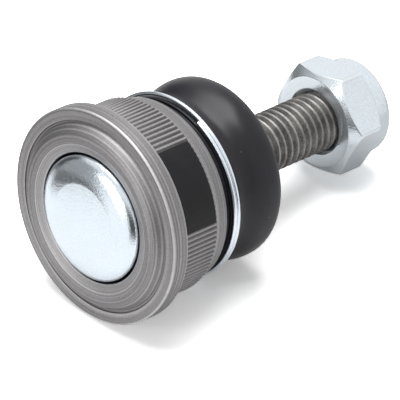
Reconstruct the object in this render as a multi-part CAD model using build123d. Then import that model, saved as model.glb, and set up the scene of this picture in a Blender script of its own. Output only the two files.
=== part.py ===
"""Press-in suspension ball joint with a knurled, flanged housing, a dust boot and a lock nut.

Millimetres. The origin is the centre of the ball, and +Z runs along the stud towards its thread.
While a piece is drawn, heights are measured from the front face of the flange, which is the side with
the closure cap. export() then moves the piece so that the ball's centre is the origin.
"""
from build123d import *
from math import cos, pi, radians, sin, sqrt, tan
import os

# Clearances
RUNNING_GAP = 0.05          # radial gap of each running fit: ball, nut on thread, nut on insert
SEAT_GAP = 0.05             # gap of the pieces that are fitted into the housing and stay there
RUBBER_GAP = 0.10           # gap between the boot and what it seats on
MOUTH_GAP = 0.8             # room left round the neck when the stud is swung to its limit
SWING_LIMIT = 25.0          # degrees from straight, in every direction

# Ball and stud
BALL_DIAMETER = 25.0
BALL_FLAT_DIAMETER = 8.0    # turned flat under the ball
NECK_DIAMETER = 14.0
NECK_FILLET = 2.0           # between ball and neck
BOOT_SEAT_DIAMETER = 17.2   # plain collar of the stud that the boot grips
BOOT_SEAT_LENGTH = 5.0
BOOT_SEAT_HEIGHT = 20.6     # ball's centre to the start of the collar
FLARE_LENGTH = 3.0          # cone from the neck up to the collar
TAPER_LENGTH = 10.2
TAPER_RATIO = 8.0           # length for each unit of diameter lost
THREAD_DIAMETER = 14.0
THREAD_ALLOWANCE = 0.05     # how far the crests stay inside the nominal radius
THREAD_LENGTH = 29.2
THREAD_RELIEF = 0.6         # plain cone between taper and thread
END_CHAMFER = 1.3
CENTRE_DIAMETER = 3.2       # centre-drilled dimple in the stud's end
CENTRE_DEPTH = 1.8

# Housing
FLANGE_DIAMETER = 50.8
FLANGE_THICKNESS = 4.2
FLANGE_FRONT_BREAK = 0.5    # bevel of the flange's front edge
FLANGE_BACK_BREAK = 0.25
RELIEF_DIAMETER = 44.8      # plain neck between flange and knurl
RELIEF_LENGTH = 0.8
UNDERCUT_DEPTH = 0.15       # ring turned into the flange's back face, under the knurl
UNDERCUT_CLEARANCE = 0.1    # how far the undercut reaches beyond the knurl's crests
KNURL_DIAMETER = 46.0       # over the crests, the diameter that is pressed in
KNURL_DEPTH = 0.42
KNURL_LENGTH = 10.9
KNURL_TEETH = 116
KNURL_CREST_SHARE = 0.30    # of the tooth pitch
KNURL_ROOT_SHARE = 0.22
KNURL_END_BREAK = 0.25      # how much of each end of the teeth runs out
KNURL_BACKING = 1.0         # band under the teeth that joins them to the body
LAND_DIAMETER = 45.0        # plain land after the knurl, at its thick end
LAND_LENGTH = 4.1
LEAD_IN_DIAMETER = 43.4     # land at its thin end
LEAD_IN_BREAK = 0.3
GROOVE_DIAMETER = 34.6      # floor of the boot groove
GROOVE_LENGTH = 5.5
END_LIP_DIAMETER = 36.0     # lip that keeps the boot's foot in its groove
END_LIP_LENGTH = 1.3
SHOULDER_HEIGHT = 6.0       # ball's centre to the end of the bore
SHOULDER_LENGTH = 2.0       # cone that stops the bearing shell
END_ROUND = 0.4             # rounding of the mouth's edges

# Rolled front of the housing
FRONT_GROOVE_DIAMETER = 45.4
FRONT_GROOVE_WIDTH = 0.7
FRONT_GROOVE_DEPTH = 0.4
BEAD_CREST_DIAMETER = 38.6
BEAD_HEIGHT = 1.85          # crest of the bead in front of the flange
LIP_STEP_DIAMETER = 35.0    # fine edge where the rolled lip starts
LIP_STEP_HEIGHT = 1.6
LIP_DIAMETER = 31.2         # hole that the rolled lip leaves
LIP_EDGE_HEIGHT = 1.06
LIP_EDGE_ROUND = 0.3

# Closure cap, pressed from sheet
CAP_SHEET = 1.5
CAP_RIM_DIAMETER = 36.6
CAP_RIM_SINK = 0.2          # top of the rim behind the flange's front face
CAP_DOME_DIAMETER = 29.2
CAP_FLAT_DIAMETER = 18.0
CAP_WALL_HEIGHT = 1.5       # straight wall from the rim up to the dome's shoulder
CAP_SHOULDER_HEIGHT = 2.2
CAP_INNER_ROUND = 1.0
CAP_OUTER_ROUND = 0.25

# Bearing cups and preload spring
CUP_WALL = 2.4              # wall of both cups at the ball's widest
SHELL_WRAP = 5.5            # height above the ball's centre to which the shell grips the ball
SHELL_OVERLAP = 0.9         # how far the shell reaches below the ball's centre
CUP_SPLIT = 0.3             # gap between the two cups
SEAT_FLOOR = 1.6            # wall under the ball
SEAT_HUB_DIAMETER = 21.0
SPRING_THICKNESS = 0.8
SPRING_FITTED_HEIGHT = 1.55
SPRING_INNER_DIAMETER = 7.0
SPRING_OUTER_DIAMETER = 15.4

# Dust boot
BOOT_WALL = 1.5
BOOT_FOOT_DIAMETER = 41.8   # foot under the clamp ring
BOOT_LIP_DIAMETER = 40.4    # front lip of the foot, beside the housing's land
BOOT_LIP_LENGTH = 1.9
BOOT_WAIST_DIAMETER = 38.2
BOOT_WAIST_HEIGHT = 27.6    # flange front to the narrowest place behind the clamp ring
BOOT_BULGE_DIAMETER = 43.0
BOOT_BULGE_HEIGHT = 35.3    # flange front to the middle of the bulge
BOOT_CROWN_HEIGHT = 39.4    # flange front to the far side of the bulge
BOOT_CROWN_ROUND = 4.4
BOOT_COLLAR_DIAMETER = 22.6
BOOT_COLLAR_GROOVE = 0.7    # depth of the small ring's groove
BOOT_COLLAR_INSET = 0.5     # bare stud left at each end of the collar

# Boot rings
CLAMP_WIRE = 1.0
CLAMP_TURNS = 1.66
CLAMP_PITCH_GAP = 0.05      # gap between neighbouring turns
CLAMP_SPANS = 2             # the winding is drawn in equal spans of less than one turn
CLAMP_START_ANGLE = -69.4   # azimuth of the wire's cut end at the housing, degrees
COLLAR_WIRE = 1.3

# Lock nut and its insert
NUT_ACROSS_FLATS = 24.0
NUT_HEIGHT = 14.0
NUT_ADVANCE = 19.5          # start of the thread to the nut's bearing face
NUT_FACE_DIAMETER = 21.8    # flat bearing face inside the chamfer
NUT_FACE_CHAMFER = 2.0
NUT_HEX_HEIGHT = 8.0        # bearing face to the far corners of the flats
NUT_BACK_CHAMFER = 1.5
NUT_COLLAR_DIAMETER = 22.8
NUT_COLLAR_ROUND = 1.6
NUT_COUNTERSINK_DIAMETER = 16.1
NUT_TURNED = 53.1           # azimuth of one corner of the hexagon, degrees
INSERT_DIAMETER = 18.2
INSERT_HEIGHT = 2.8
INSERT_COVER = 1.1          # thickness of the collar's crimped end over the insert
INSERT_WINDOW_DIAMETER = 16.4

# Values that several pieces share
ball_radius = BALL_DIAMETER / 2
socket_radius = ball_radius + RUNNING_GAP
cup_radius = socket_radius + CUP_WALL
bore_radius = cup_radius + SEAT_GAP
cap_rim_top = CAP_RIM_SINK
cap_rim_bottom = cap_rim_top + CAP_SHEET
cap_flat_height = cap_rim_top - CAP_WALL_HEIGHT - CAP_SHOULDER_HEIGHT
spring_bottom = cap_flat_height + CAP_SHEET + SEAT_GAP
spring_top = spring_bottom + SPRING_FITTED_HEIGHT
seat_bottom = spring_top + SEAT_GAP
ball_depth = seat_bottom + SEAT_FLOOR + socket_radius
bore_end = ball_depth + SHOULDER_HEIGHT
undercut_radius = KNURL_DIAMETER / 2 + UNDERCUT_CLEARANCE
knurl_start = FLANGE_THICKNESS + RELIEF_LENGTH
knurl_end = knurl_start + KNURL_LENGTH
land_end = knurl_end + LAND_LENGTH
groove_end = land_end + GROOVE_LENGTH
housing_end = groove_end + END_LIP_LENGTH
boot_seat_start = ball_depth + BOOT_SEAT_HEIGHT
boot_seat_end = boot_seat_start + BOOT_SEAT_LENGTH
taper_end = boot_seat_end + TAPER_LENGTH
thread_start = taper_end + THREAD_RELIEF
thread_end = thread_start + THREAD_LENGTH
thread_radius = THREAD_DIAMETER / 2 - THREAD_ALLOWANCE
threaded_bore_radius = thread_radius + RUNNING_GAP
nut_face = thread_start + NUT_ADVANCE
nut_end = nut_face + NUT_HEIGHT
collar_start = boot_seat_start + BOOT_COLLAR_INSET
collar_end = boot_seat_end - BOOT_COLLAR_INSET
collar_web_top = collar_start + BOOT_WALL
collar_ring_height = (collar_web_top + collar_end) / 2
clamp_ring_radius = BOOT_FOOT_DIAMETER / 2 + RUNNING_GAP + CLAMP_WIRE / 2
collar_ring_radius = BOOT_COLLAR_DIAMETER / 2 - BOOT_COLLAR_GROOVE + COLLAR_WIRE / 2 + RUNNING_GAP


def mouth_radius(height):
    """Opening that the swung neck needs at a height above the flange's front face."""
    swing = radians(SWING_LIMIT)
    return (height - ball_depth) * tan(swing) + NECK_DIAMETER / 2 / cos(swing) + MOUTH_GAP


def turn(*edges):
    """Solid of revolution about Z from the edges of a closed half section in (radius, height)."""
    return revolve(Plane.XZ * make_face(Curve() + list(edges)), Axis.Z)


def profile(*corners, close=False):
    """Line through corners given as (radius, height) or (radius, height, rounding)."""
    points = [corner[:2] for corner in corners]
    roundings = [corner[2] if len(corner) > 2 else 0 for corner in corners]
    return FilletPolyline(points, radius=roundings if close else roundings[1:-1], close=close)


def turn_corners(*corners):
    """Solid of revolution about Z from the corners of its half section."""
    return turn(profile(*corners, close=True))


def ball_at_depth(radius):
    return Pos(0, 0, ball_depth) * Sphere(radius)


def make_knurl():
    """Straight teeth along the axis: flat crests, sloped flanks and narrow flat roots."""
    pitch = 2 * pi / KNURL_TEETH
    crest = KNURL_DIAMETER / 2
    root = crest - KNURL_DEPTH
    half_crest = pitch * KNURL_CREST_SHARE / 2
    half_root = pitch * KNURL_ROOT_SHARE / 2

    def at(radius, angle):
        return (radius * cos(angle), radius * sin(angle))

    edges = []
    for tooth in range(KNURL_TEETH):
        middle = tooth * pitch
        crest_from = at(crest, middle - half_crest)
        crest_to = at(crest, middle + half_crest)
        root_from = at(root, middle + pitch / 2 - half_root)
        root_to = at(root, middle + pitch / 2 + half_root)
        next_crest = at(crest, middle + pitch - half_crest)
        edges.append(ThreePointArc(crest_from, at(crest, middle), crest_to))
        edges.append(Line(crest_to, root_from))
        edges.append(Line(root_from, root_to))
        edges.append(Line(root_to, next_crest))
    teeth = extrude(make_face(Curve() + edges), KNURL_LENGTH)
    run_out = KNURL_DEPTH + SEAT_GAP
    inside = root - KNURL_BACKING
    envelope = turn_corners(
        (inside, 0),
        (crest - run_out, 0),
        (crest, KNURL_END_BREAK),
        (crest, KNURL_LENGTH - KNURL_END_BREAK),
        (crest - run_out, KNURL_LENGTH),
        (inside, KNURL_LENGTH),
    )
    return Pos(0, 0, knurl_start) * (teeth & envelope)


def make_housing():
    """Turned and knurled body, with the rolled bead and lip at its front and the mouth at its back."""
    groove_outer = FRONT_GROOVE_DIAMETER / 2
    groove_inner = groove_outer - FRONT_GROOVE_WIDTH
    undercut_floor = FLANGE_THICKNESS - UNDERCUT_DEPTH
    bead_foot = (groove_inner - FRONT_GROOVE_DEPTH / 2, 0)
    bead_crest = (BEAD_CREST_DIAMETER / 2, -BEAD_HEIGHT)
    lip_step = (LIP_STEP_DIAMETER / 2, -LIP_STEP_HEIGHT)
    lip_edge = (LIP_DIAMETER / 2, -LIP_EDGE_HEIGHT)
    pocket_radius = CAP_RIM_DIAMETER / 2 + SEAT_GAP
    pocket_top = cap_rim_top - SEAT_GAP
    flange_radius = FLANGE_DIAMETER / 2
    core_radius = KNURL_DIAMETER / 2 - KNURL_DEPTH - SEAT_GAP
    shoulder_end = bore_end + SHOULDER_LENGTH
    bead = Spline(bead_foot, bead_crest, lip_step, tangents=[(-0.45, -1), (-1, 0.25)])
    outline = profile(
        lip_step,
        (*lip_edge, LIP_EDGE_ROUND),
        (LIP_DIAMETER / 2, pocket_top),
        (pocket_radius, pocket_top),
        (pocket_radius, cap_rim_bottom),
        (bore_radius, cap_rim_bottom),
        (bore_radius, bore_end),
        (mouth_radius(shoulder_end), shoulder_end, END_ROUND),
        (mouth_radius(housing_end), housing_end, END_ROUND),
        (END_LIP_DIAMETER / 2, housing_end, END_ROUND),
        (END_LIP_DIAMETER / 2, groove_end),
        (GROOVE_DIAMETER / 2, groove_end),
        (GROOVE_DIAMETER / 2, land_end),
        (LEAD_IN_DIAMETER / 2, land_end, LEAD_IN_BREAK),
        (LAND_DIAMETER / 2, knurl_end),
        (core_radius, knurl_end),
        (core_radius, knurl_start),
        (RELIEF_DIAMETER / 2, knurl_start),
        (RELIEF_DIAMETER / 2, undercut_floor),
        (undercut_radius, undercut_floor),
        (undercut_radius, FLANGE_THICKNESS),
        (flange_radius - FLANGE_BACK_BREAK, FLANGE_THICKNESS),
        (flange_radius, FLANGE_THICKNESS - FLANGE_BACK_BREAK),
        (flange_radius, FLANGE_FRONT_BREAK),
        (flange_radius - FLANGE_FRONT_BREAK, 0),
        (groove_outer, 0),
        (groove_outer - FRONT_GROOVE_DEPTH / 2, FRONT_GROOVE_DEPTH),
        (groove_inner, FRONT_GROOVE_DEPTH),
        bead_foot,
    )
    return turn(bead, outline) + make_knurl()


def make_cap():
    """Domed sheet-metal cap: flat centre, rounded shoulder, straight wall and a flat rim under the lip."""
    wall_outer = CAP_DOME_DIAMETER / 2
    wall_inner = wall_outer - CAP_SHEET
    flat_outer = CAP_FLAT_DIAMETER / 2
    shoulder_top = cap_rim_top - CAP_WALL_HEIGHT
    inner_flat = cap_flat_height + CAP_SHEET
    inner_rise = CAP_SHOULDER_HEIGHT - CAP_SHEET / 2
    inner_shoulder = inner_flat + inner_rise
    rim = CAP_RIM_DIAMETER / 2
    outer_shoulder = EllipticalCenterArc(
        (flat_outer, shoulder_top), wall_outer - flat_outer, CAP_SHOULDER_HEIGHT, 270, arc_size=90
    )
    inner_arc = EllipticalCenterArc(
        (flat_outer, inner_shoulder), wall_inner - flat_outer, inner_rise, 270, arc_size=90
    )
    rim_line = profile(
        (wall_outer, shoulder_top),
        (wall_outer, cap_rim_top, CAP_OUTER_ROUND),
        (rim, cap_rim_top, CAP_OUTER_ROUND),
        (rim, cap_rim_bottom, CAP_OUTER_ROUND),
        (wall_inner, cap_rim_bottom, CAP_INNER_ROUND),
        (wall_inner, inner_shoulder),
    )
    return turn(
        Line((0, cap_flat_height), (flat_outer, cap_flat_height)),
        outer_shoulder,
        rim_line,
        inner_arc,
        Line((flat_outer, inner_flat), (0, inner_flat)),
        Line((0, inner_flat), (0, cap_flat_height)),
    )


def make_bearing_shell():
    """Upper bearing cup, which holds the ball back against the housing's inner shoulder."""
    wrap = ball_depth + SHELL_WRAP
    shoulder_end = bore_end + SHOULDER_LENGTH - SEAT_GAP
    body = turn_corners(
        (0, ball_depth - SHELL_OVERLAP),
        (cup_radius, ball_depth - SHELL_OVERLAP),
        (cup_radius, bore_end - SEAT_GAP),
        (mouth_radius(shoulder_end), shoulder_end),
        (sqrt(socket_radius**2 - SHELL_WRAP**2), wrap),
        (0, wrap),
    )
    return body - ball_at_depth(socket_radius)


def make_pressure_seat():
    """Lower bearing cup, pushed against the ball by the preload spring."""
    top = ball_depth - SHELL_OVERLAP - CUP_SPLIT
    body = turn_corners(
        (0, seat_bottom),
        (SEAT_HUB_DIAMETER / 2, seat_bottom),
        (SEAT_HUB_DIAMETER / 2, cap_rim_bottom + SEAT_GAP),
        (cup_radius, cap_rim_bottom + SEAT_GAP),
        (cup_radius, top),
        (0, top),
    )
    return body - ball_at_depth(socket_radius)


def make_preload_spring():
    """Coned disc spring: its outer edge bears on the cap and its inner edge on the pressure seat."""
    inner = SPRING_INNER_DIAMETER / 2
    outer = SPRING_OUTER_DIAMETER / 2
    return turn_corners(
        (inner, spring_top - SPRING_THICKNESS),
        (outer, spring_bottom),
        (outer, spring_bottom + SPRING_THICKNESS),
        (inner, spring_top),
    )


def make_ball_stud():
    """Forged and turned stud in one piece: ball, neck, boot collar, taper and the thread's body."""
    neck = NECK_DIAMETER / 2
    seat = BOOT_SEAT_DIAMETER / 2
    taper_small = seat - TAPER_LENGTH / TAPER_RATIO / 2
    flat_depth = sqrt(ball_radius**2 - (BALL_FLAT_DIAMETER / 2) ** 2)
    flat_height = ball_depth - flat_depth
    neck_meets_ball = ball_depth + sqrt(ball_radius**2 - neck**2)
    ball = ball_at_depth(ball_radius) & turn_corners(
        (0, flat_height), (BALL_DIAMETER, flat_height), (BALL_DIAMETER, neck_meets_ball), (0, neck_meets_ball)
    )
    shank = turn_corners(
        (0, ball_depth),
        (neck, ball_depth),
        (neck, boot_seat_start - FLARE_LENGTH, NECK_FILLET),
        (seat, boot_seat_start, 0.5),
        (seat, boot_seat_end),
        (taper_small, taper_end, 0.3),
        (thread_radius, thread_start),
        (thread_radius, thread_end - END_CHAMFER),
        (thread_radius - END_CHAMFER, thread_end),
        (CENTRE_DIAMETER / 2, thread_end),
        (0, thread_end - CENTRE_DEPTH),
    )
    return ball + shank


def make_boot():
    """Rubber dust boot: foot in the housing's groove, waist, one full bulge and a collar on the stud."""
    foot_inner = GROOVE_DIAMETER / 2 + RUBBER_GAP
    foot_outer = BOOT_FOOT_DIAMETER / 2
    foot_start = land_end + RUBBER_GAP
    lip_end = foot_start + BOOT_LIP_LENGTH
    neck_inner = END_LIP_DIAMETER / 2 + RUBBER_GAP
    ring_end = groove_end - RUBBER_GAP
    waist = BOOT_WAIST_DIAMETER / 2
    bulge = BOOT_BULGE_DIAMETER / 2
    collar_inner = BOOT_SEAT_DIAMETER / 2 + RUBBER_GAP
    collar_outer = BOOT_COLLAR_DIAMETER / 2
    neck_end = housing_end + RUBBER_GAP
    foot_end = lip_end + 2 * CLAMP_WIRE + CLAMP_PITCH_GAP
    outside = Spline(
        (foot_outer, foot_end),
        (waist, BOOT_WAIST_HEIGHT),
        (bulge, BOOT_BULGE_HEIGHT),
        (bulge - BOOT_CROWN_ROUND, BOOT_CROWN_HEIGHT),
        tangents=[(-1, 0.6), (0, 1), (0, 1), (-1, 0)],
    )
    inside = Spline(
        (bulge - BOOT_CROWN_ROUND, BOOT_CROWN_HEIGHT - BOOT_WALL),
        (bulge - BOOT_WALL, BOOT_BULGE_HEIGHT),
        (neck_inner, neck_end),
        tangents=[(1, 0), (0, -1), (0, -1)],
    )
    foot = Polyline(
        (neck_inner, neck_end),
        (neck_inner, ring_end),
        (foot_inner, ring_end),
        (foot_inner, foot_start),
        (BOOT_LIP_DIAMETER / 2, foot_start),
        (BOOT_LIP_DIAMETER / 2, lip_end),
        (foot_outer, lip_end),
        (foot_outer, foot_end),
    )
    groove_half = COLLAR_WIRE / 2 + RUBBER_GAP
    groove_floor = collar_outer - BOOT_COLLAR_GROOVE
    web_outer = collar_outer + BOOT_WALL
    collar = Polyline(
        (bulge - BOOT_CROWN_ROUND, BOOT_CROWN_HEIGHT),
        (web_outer, collar_web_top),
        (collar_outer, collar_web_top),
        (collar_outer, collar_ring_height - groove_half),
        (groove_floor, collar_ring_height - groove_half),
        (groove_floor, collar_ring_height + groove_half),
        (collar_outer, collar_ring_height + groove_half),
        (collar_outer, collar_end),
        (collar_inner, collar_end),
        (collar_inner, collar_start),
        (web_outer, collar_start),
        (bulge - BOOT_CROWN_ROUND, BOOT_CROWN_HEIGHT - BOOT_WALL),
    )
    return turn(outside, collar, inside, foot)


def make_clamp_ring():
    """Wire ring over the boot's foot, wound round it more than once and cut square at both ends."""
    pitch = CLAMP_WIRE + CLAMP_PITCH_GAP
    start = land_end + RUBBER_GAP + BOOT_LIP_LENGTH + CLAMP_WIRE / 2
    span_turns = CLAMP_TURNS / CLAMP_SPANS
    span_rise = pitch * span_turns
    path = Helix(pitch, span_rise, clamp_ring_radius)
    span = sweep(Plane(path @ 0, z_dir=path % 0) * Circle(CLAMP_WIRE / 2), path, is_frenet=True)
    wire = span
    for done in range(1, CLAMP_SPANS):
        wire += Pos(0, 0, done * span_rise) * Rot(0, 0, 360 * span_turns * done) * span
    return Pos(0, 0, start) * Rot(0, 0, CLAMP_START_ANGLE) * wire


def make_collar_ring():
    """Plain wire ring that closes the boot's collar on the stud."""
    return Pos(0, 0, collar_ring_height) * Torus(collar_ring_radius, COLLAR_WIRE / 2)


def make_nut():
    """Hexagon lock nut: chamfered bearing face, countersunk bore and a crimped collar for the insert."""
    corner_radius = NUT_ACROSS_FLATS / sqrt(3)
    collar = NUT_COLLAR_DIAMETER / 2
    hexagon = extrude(RegularPolygon(corner_radius, 6, rotation=NUT_TURNED), NUT_HEIGHT)
    envelope = turn_corners(
        (0, 0),
        (NUT_FACE_DIAMETER / 2, 0),
        (corner_radius, NUT_FACE_CHAMFER),
        (corner_radius, NUT_HEX_HEIGHT),
        (collar, NUT_HEX_HEIGHT + NUT_BACK_CHAMFER),
        (collar, NUT_HEIGHT, NUT_COLLAR_ROUND),
        (0, NUT_HEIGHT),
    )
    countersink = NUT_COUNTERSINK_DIAMETER / 2
    insert_top = NUT_HEIGHT - INSERT_COVER
    insert_bottom = insert_top - INSERT_HEIGHT - 2 * SEAT_GAP
    pocket = INSERT_DIAMETER / 2 + RUNNING_GAP
    bore = turn_corners(
        (0, 0),
        (countersink, 0),
        (threaded_bore_radius, countersink - threaded_bore_radius),
        (threaded_bore_radius, insert_bottom),
        (pocket, insert_bottom),
        (pocket, insert_top),
        (INSERT_WINDOW_DIAMETER / 2, insert_top),
        (INSERT_WINDOW_DIAMETER / 2, NUT_HEIGHT),
        (0, NUT_HEIGHT),
    )
    return Pos(0, 0, nut_face) * ((hexagon & envelope) - bore)


def make_nut_insert():
    """Nylon ring inside the nut's collar."""
    top = nut_end - INSERT_COVER - SEAT_GAP
    return turn_corners(
        (threaded_bore_radius, top - INSERT_HEIGHT, 0.2),
        (INSERT_DIAMETER / 2, top - INSERT_HEIGHT),
        (INSERT_DIAMETER / 2, top),
        (threaded_bore_radius, top, 0.2),
    )


def export(name, shape):
    """Move a piece so that the ball's centre is the origin, and write it."""
    export_step(Pos(0, 0, -ball_depth) * shape, os.path.join("parts", name + ".step"))


os.makedirs("parts", exist_ok=True)
export("housing", make_housing())
export("closure_cap", make_cap())
export("bearing_shell", make_bearing_shell())
export("pressure_seat", make_pressure_seat())
export("preload_spring", make_preload_spring())
export("ball_stud", make_ball_stud())
export("dust_boot", make_boot())
export("boot_clamp_ring", make_clamp_ring())
export("boot_collar_ring", make_collar_ring())
export("lock_nut", make_nut())
export("nut_insert", make_nut_insert())
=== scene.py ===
"""Suspension ball joint: housing, cap, dust boot, wires, threaded stud, lock nut and label."""

from math import cos, pi, radians, sin, sqrt

import bmesh
import bpy
from bpy.props import FloatProperty, FloatVectorProperty, IntProperty, PointerProperty
from mathutils import Matrix, Vector
from mathutils.geometry import interpolate_bezier


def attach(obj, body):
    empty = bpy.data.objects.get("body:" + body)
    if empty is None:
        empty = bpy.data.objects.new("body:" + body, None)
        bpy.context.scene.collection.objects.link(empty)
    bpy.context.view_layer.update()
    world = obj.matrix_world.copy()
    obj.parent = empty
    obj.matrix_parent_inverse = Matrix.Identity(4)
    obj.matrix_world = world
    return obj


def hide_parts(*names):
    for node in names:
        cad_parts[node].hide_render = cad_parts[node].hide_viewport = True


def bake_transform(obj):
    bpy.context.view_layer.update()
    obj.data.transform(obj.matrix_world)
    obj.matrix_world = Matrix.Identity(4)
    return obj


bl_info = {
    "name": "Suspension Ball Joint",
    "version": (1, 0, 0),
    "blender": (4, 5, 0),
    "location": "View3D > Sidebar > Ball Joint",
    "description": "Finishes a press-in suspension ball joint around its packed frame",
    "category": "Object",
}

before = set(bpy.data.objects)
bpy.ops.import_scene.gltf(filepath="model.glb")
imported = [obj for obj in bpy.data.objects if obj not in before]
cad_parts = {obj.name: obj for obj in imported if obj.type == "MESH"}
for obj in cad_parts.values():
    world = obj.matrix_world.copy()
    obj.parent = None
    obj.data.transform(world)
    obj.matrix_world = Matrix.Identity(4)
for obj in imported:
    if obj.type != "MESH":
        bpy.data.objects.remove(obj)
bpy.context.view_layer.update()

MM = 0.001
MERGE_DISTANCE = 0.002 * MM
SECTION_END = 1e-4          # share of a radius that still counts as the same radius
ROUND_COLUMNS = 240         # faces round a turned piece


# ---------------------------------------------------------------- settings


def length(millimetres, description):
    """A size in metres, written in millimetres."""
    return FloatProperty(
        description=description, default=millimetres * MM, precision=5, unit="LENGTH"
    )


def angle(degrees, description):
    return FloatProperty(description=description, default=radians(degrees), unit="ROTATION")


def number(default, description, **limits):
    return FloatProperty(description=description, default=default, **limits)


def share(default, description):
    return number(default, description, min=0.0, max=1.0)


def colour(default, description):
    return FloatVectorProperty(
        description=description, default=default, size=3, min=0.0, max=1.0, subtype="COLOR"
    )


def count(default, description):
    return IntProperty(description=description, default=default, min=3)


def named(settings):
    """Name each setting after its attribute."""
    for key, setting in settings.__annotations__.items():
        setting.keywords["name"] = key.replace("_", " ").capitalize()
    return settings


@named
class HousingSettings(bpy.types.PropertyGroup):
    """Turned and knurled steel body."""

    ball_depth: length(13.8, "Front face of the flange to the ball's centre")
    flange_radius: length(25.4, "Outer radius of the flange")
    flange_thickness: length(4.2, "Thickness of the flange")
    front_break: length(0.5, "Rounding of the flange's front edge")
    back_break: length(0.25, "Rounding of the flange's back edge")
    relief_radius: length(22.4, "Groove between the flange and the knurl")
    knurl_start: length(5.0, "Height where the teeth start")
    knurl_end: length(15.9, "Height where the teeth end")
    knurl_radius: length(23.0, "Radius over the tooth crests")
    knurl_depth: length(0.42, "Depth between two teeth")
    knurl_break: length(0.25, "Bevel at both ends of the teeth")
    knurl_teeth: count(116, "Number of teeth round the band")
    land_radius: length(22.5, "Smooth land behind the teeth")
    land_end: length(20.0, "Height where the land ends")
    lead_in_radius: length(21.7, "Small end of the tapered land")
    undercut_radius: length(23.1, "Ring turned into the flange's back face")
    undercut_depth: length(0.15, "Depth of that ring")
    groove_radius: length(17.3, "Floor of the boot's groove")
    groove_end: length(25.5, "Height where the boot's groove ends")
    end_lip_radius: length(18.0, "Lip that holds the boot's foot")
    housing_end: length(26.8, "Height of the housing's back end")
    mouth_radius: length(14.6, "Opening for the swinging neck")
    throat_radius: length(12.4, "Narrowest opening over the bearing shell")
    throat_height: length(21.8, "Height of the narrowest opening")
    bore_radius: length(15.0, "Bore for the bearing cups")
    bore_end: length(19.8, "Height of the shoulder in the bore")
    pocket_radius: length(18.35, "Pocket for the cap's rim")
    pocket_top: length(0.15, "Front of the pocket under the lip")
    pocket_floor: length(1.7, "Back of the pocket under the lip")
    groove_outer: length(22.7, "Outer radius of the groove in the front face")
    groove_width: length(0.7, "Width of the groove in the front face")
    groove_depth: length(0.4, "Depth of the groove in the front face")
    bead_crest: length(19.3, "Radius of the rolled bead's crest")
    bead_height: length(1.85, "Height of the rolled bead over the flange")
    lip_step: length(17.5, "Line where the lip was rolled in")
    lip_step_height: length(1.6, "Height of that line over the flange")
    lip_radius: length(15.45, "Inner edge of the rolled lip")
    lip_height: length(1.06, "Height of the lip's inner edge over the flange")
    edge_round: length(0.3, "Rounding of the turned edges")


@named
class CapSettings(bpy.types.PropertyGroup):
    """Domed sheet cap under the rolled lip."""

    sheet: length(1.5, "Thickness of the sheet")
    flat_radius: length(9.0, "Radius of the flat centre")
    flat_height: length(3.5, "Height of the flat over the flange")
    kink: number(0.12, "Slope of the shoulder where the flat ends")
    wall_radius: length(14.95, "Outer radius of the dome's wall")
    wall_height: length(0.5, "Height of the wall's top over the flange")
    rim_radius: length(18.3, "Radius of the rim under the lip")
    rim_top: length(0.2, "Depth of the rim below the flange's face")


@named
class BootSettings(bpy.types.PropertyGroup):
    """Rubber dust boot."""

    foot_start: length(20.1, "Height where the foot starts")
    foot_inner: length(17.4, "Inner radius of the foot in the groove")
    lip_radius: length(20.2, "Outer radius of the lip before the clamp")
    lip_end: length(22.0, "Height where the lip ends and the clamp starts")
    foot_radius: length(20.9, "Outer radius under the clamp")
    clamp_end: length(24.05, "Height where the clamp's seat ends")
    waist_radius: length(19.1, "Radius between the clamp and the bulge")
    waist_height: length(27.6, "Height of the waist")
    bulge_radius: length(21.5, "Largest radius of the bulge")
    bulge_height: length(35.2, "Height of the largest radius")
    crown_radius: length(17.1, "Radius of the crown's highest ring")
    crown_height: length(39.4, "Height of the crown")
    wall: length(1.5, "Thickness of the rubber")
    collar_radius: length(11.3, "Outer radius of the collar on the stud")
    collar_inner: length(8.7, "Inner radius of the collar")
    collar_start: length(34.9, "Height where the collar starts")
    collar_end: length(38.9, "Height where the collar ends")
    ring_height: length(37.65, "Height of the wire ring in the collar")
    ring_wire: length(0.65, "Radius of the ring's wire")
    ring_radius: length(11.3, "Radius of the ring's middle line")
    neck_inner: length(18.1, "Inner radius over the housing's end lip")
    neck_start: length(25.4, "Height where the foot's inner groove ends")
    neck_end: length(26.9, "Height where the rubber leaves the housing")


@named
class ClampSettings(bpy.types.PropertyGroup):
    """Wire clamp round the boot's foot."""

    wire: length(1.0, "Diameter of the wire")
    shown_wire: length(0.94, "Diameter of the wire inside its plating")
    gap: length(0.05, "Gap between the two windings")
    radius: length(21.45, "Radius of the wire's middle line")
    start_height: length(22.5, "Height of the wire's middle at its cut end")
    start_angle: angle(-69.4, "Direction of the wire's cut end")
    turns: number(1.66, "Turns of the wire")


@named
class StudSettings(bpy.types.PropertyGroup):
    """Ball stud with a rolled thread."""

    ball_radius: length(12.5, "Radius of the ball")
    flat_radius: length(4.0, "Radius of the flat at the ball's foot")
    neck_radius: length(7.0, "Radius of the neck")
    neck_fillet: length(2.0, "Fillet where the neck widens")
    neck_end: length(31.4, "Height where the neck widens")
    seat_radius: length(8.6, "Radius of the boot's seat")
    seat_start: length(34.4, "Height where the boot's seat starts")
    seat_end: length(39.4, "Height where the boot's seat ends")
    taper_radius: length(7.9625, "Small end of the taper")
    taper_end: length(48.6, "Height where the taper ends")
    thread_radius: length(6.95, "Radius over the thread's crests")
    thread_start: length(49.2, "Height where the thread starts")
    thread_end: length(79.4, "Height of the stud's end")
    pitch: length(2.0, "Rise of the thread in one turn")
    thread_depth: length(1.2, "Depth of the thread")
    end_bevel: length(1.3, "Bevel at the stud's end")
    centre_radius: length(1.6, "Radius of the centre hole")
    centre_depth: length(1.8, "Depth of the centre hole")


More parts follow.
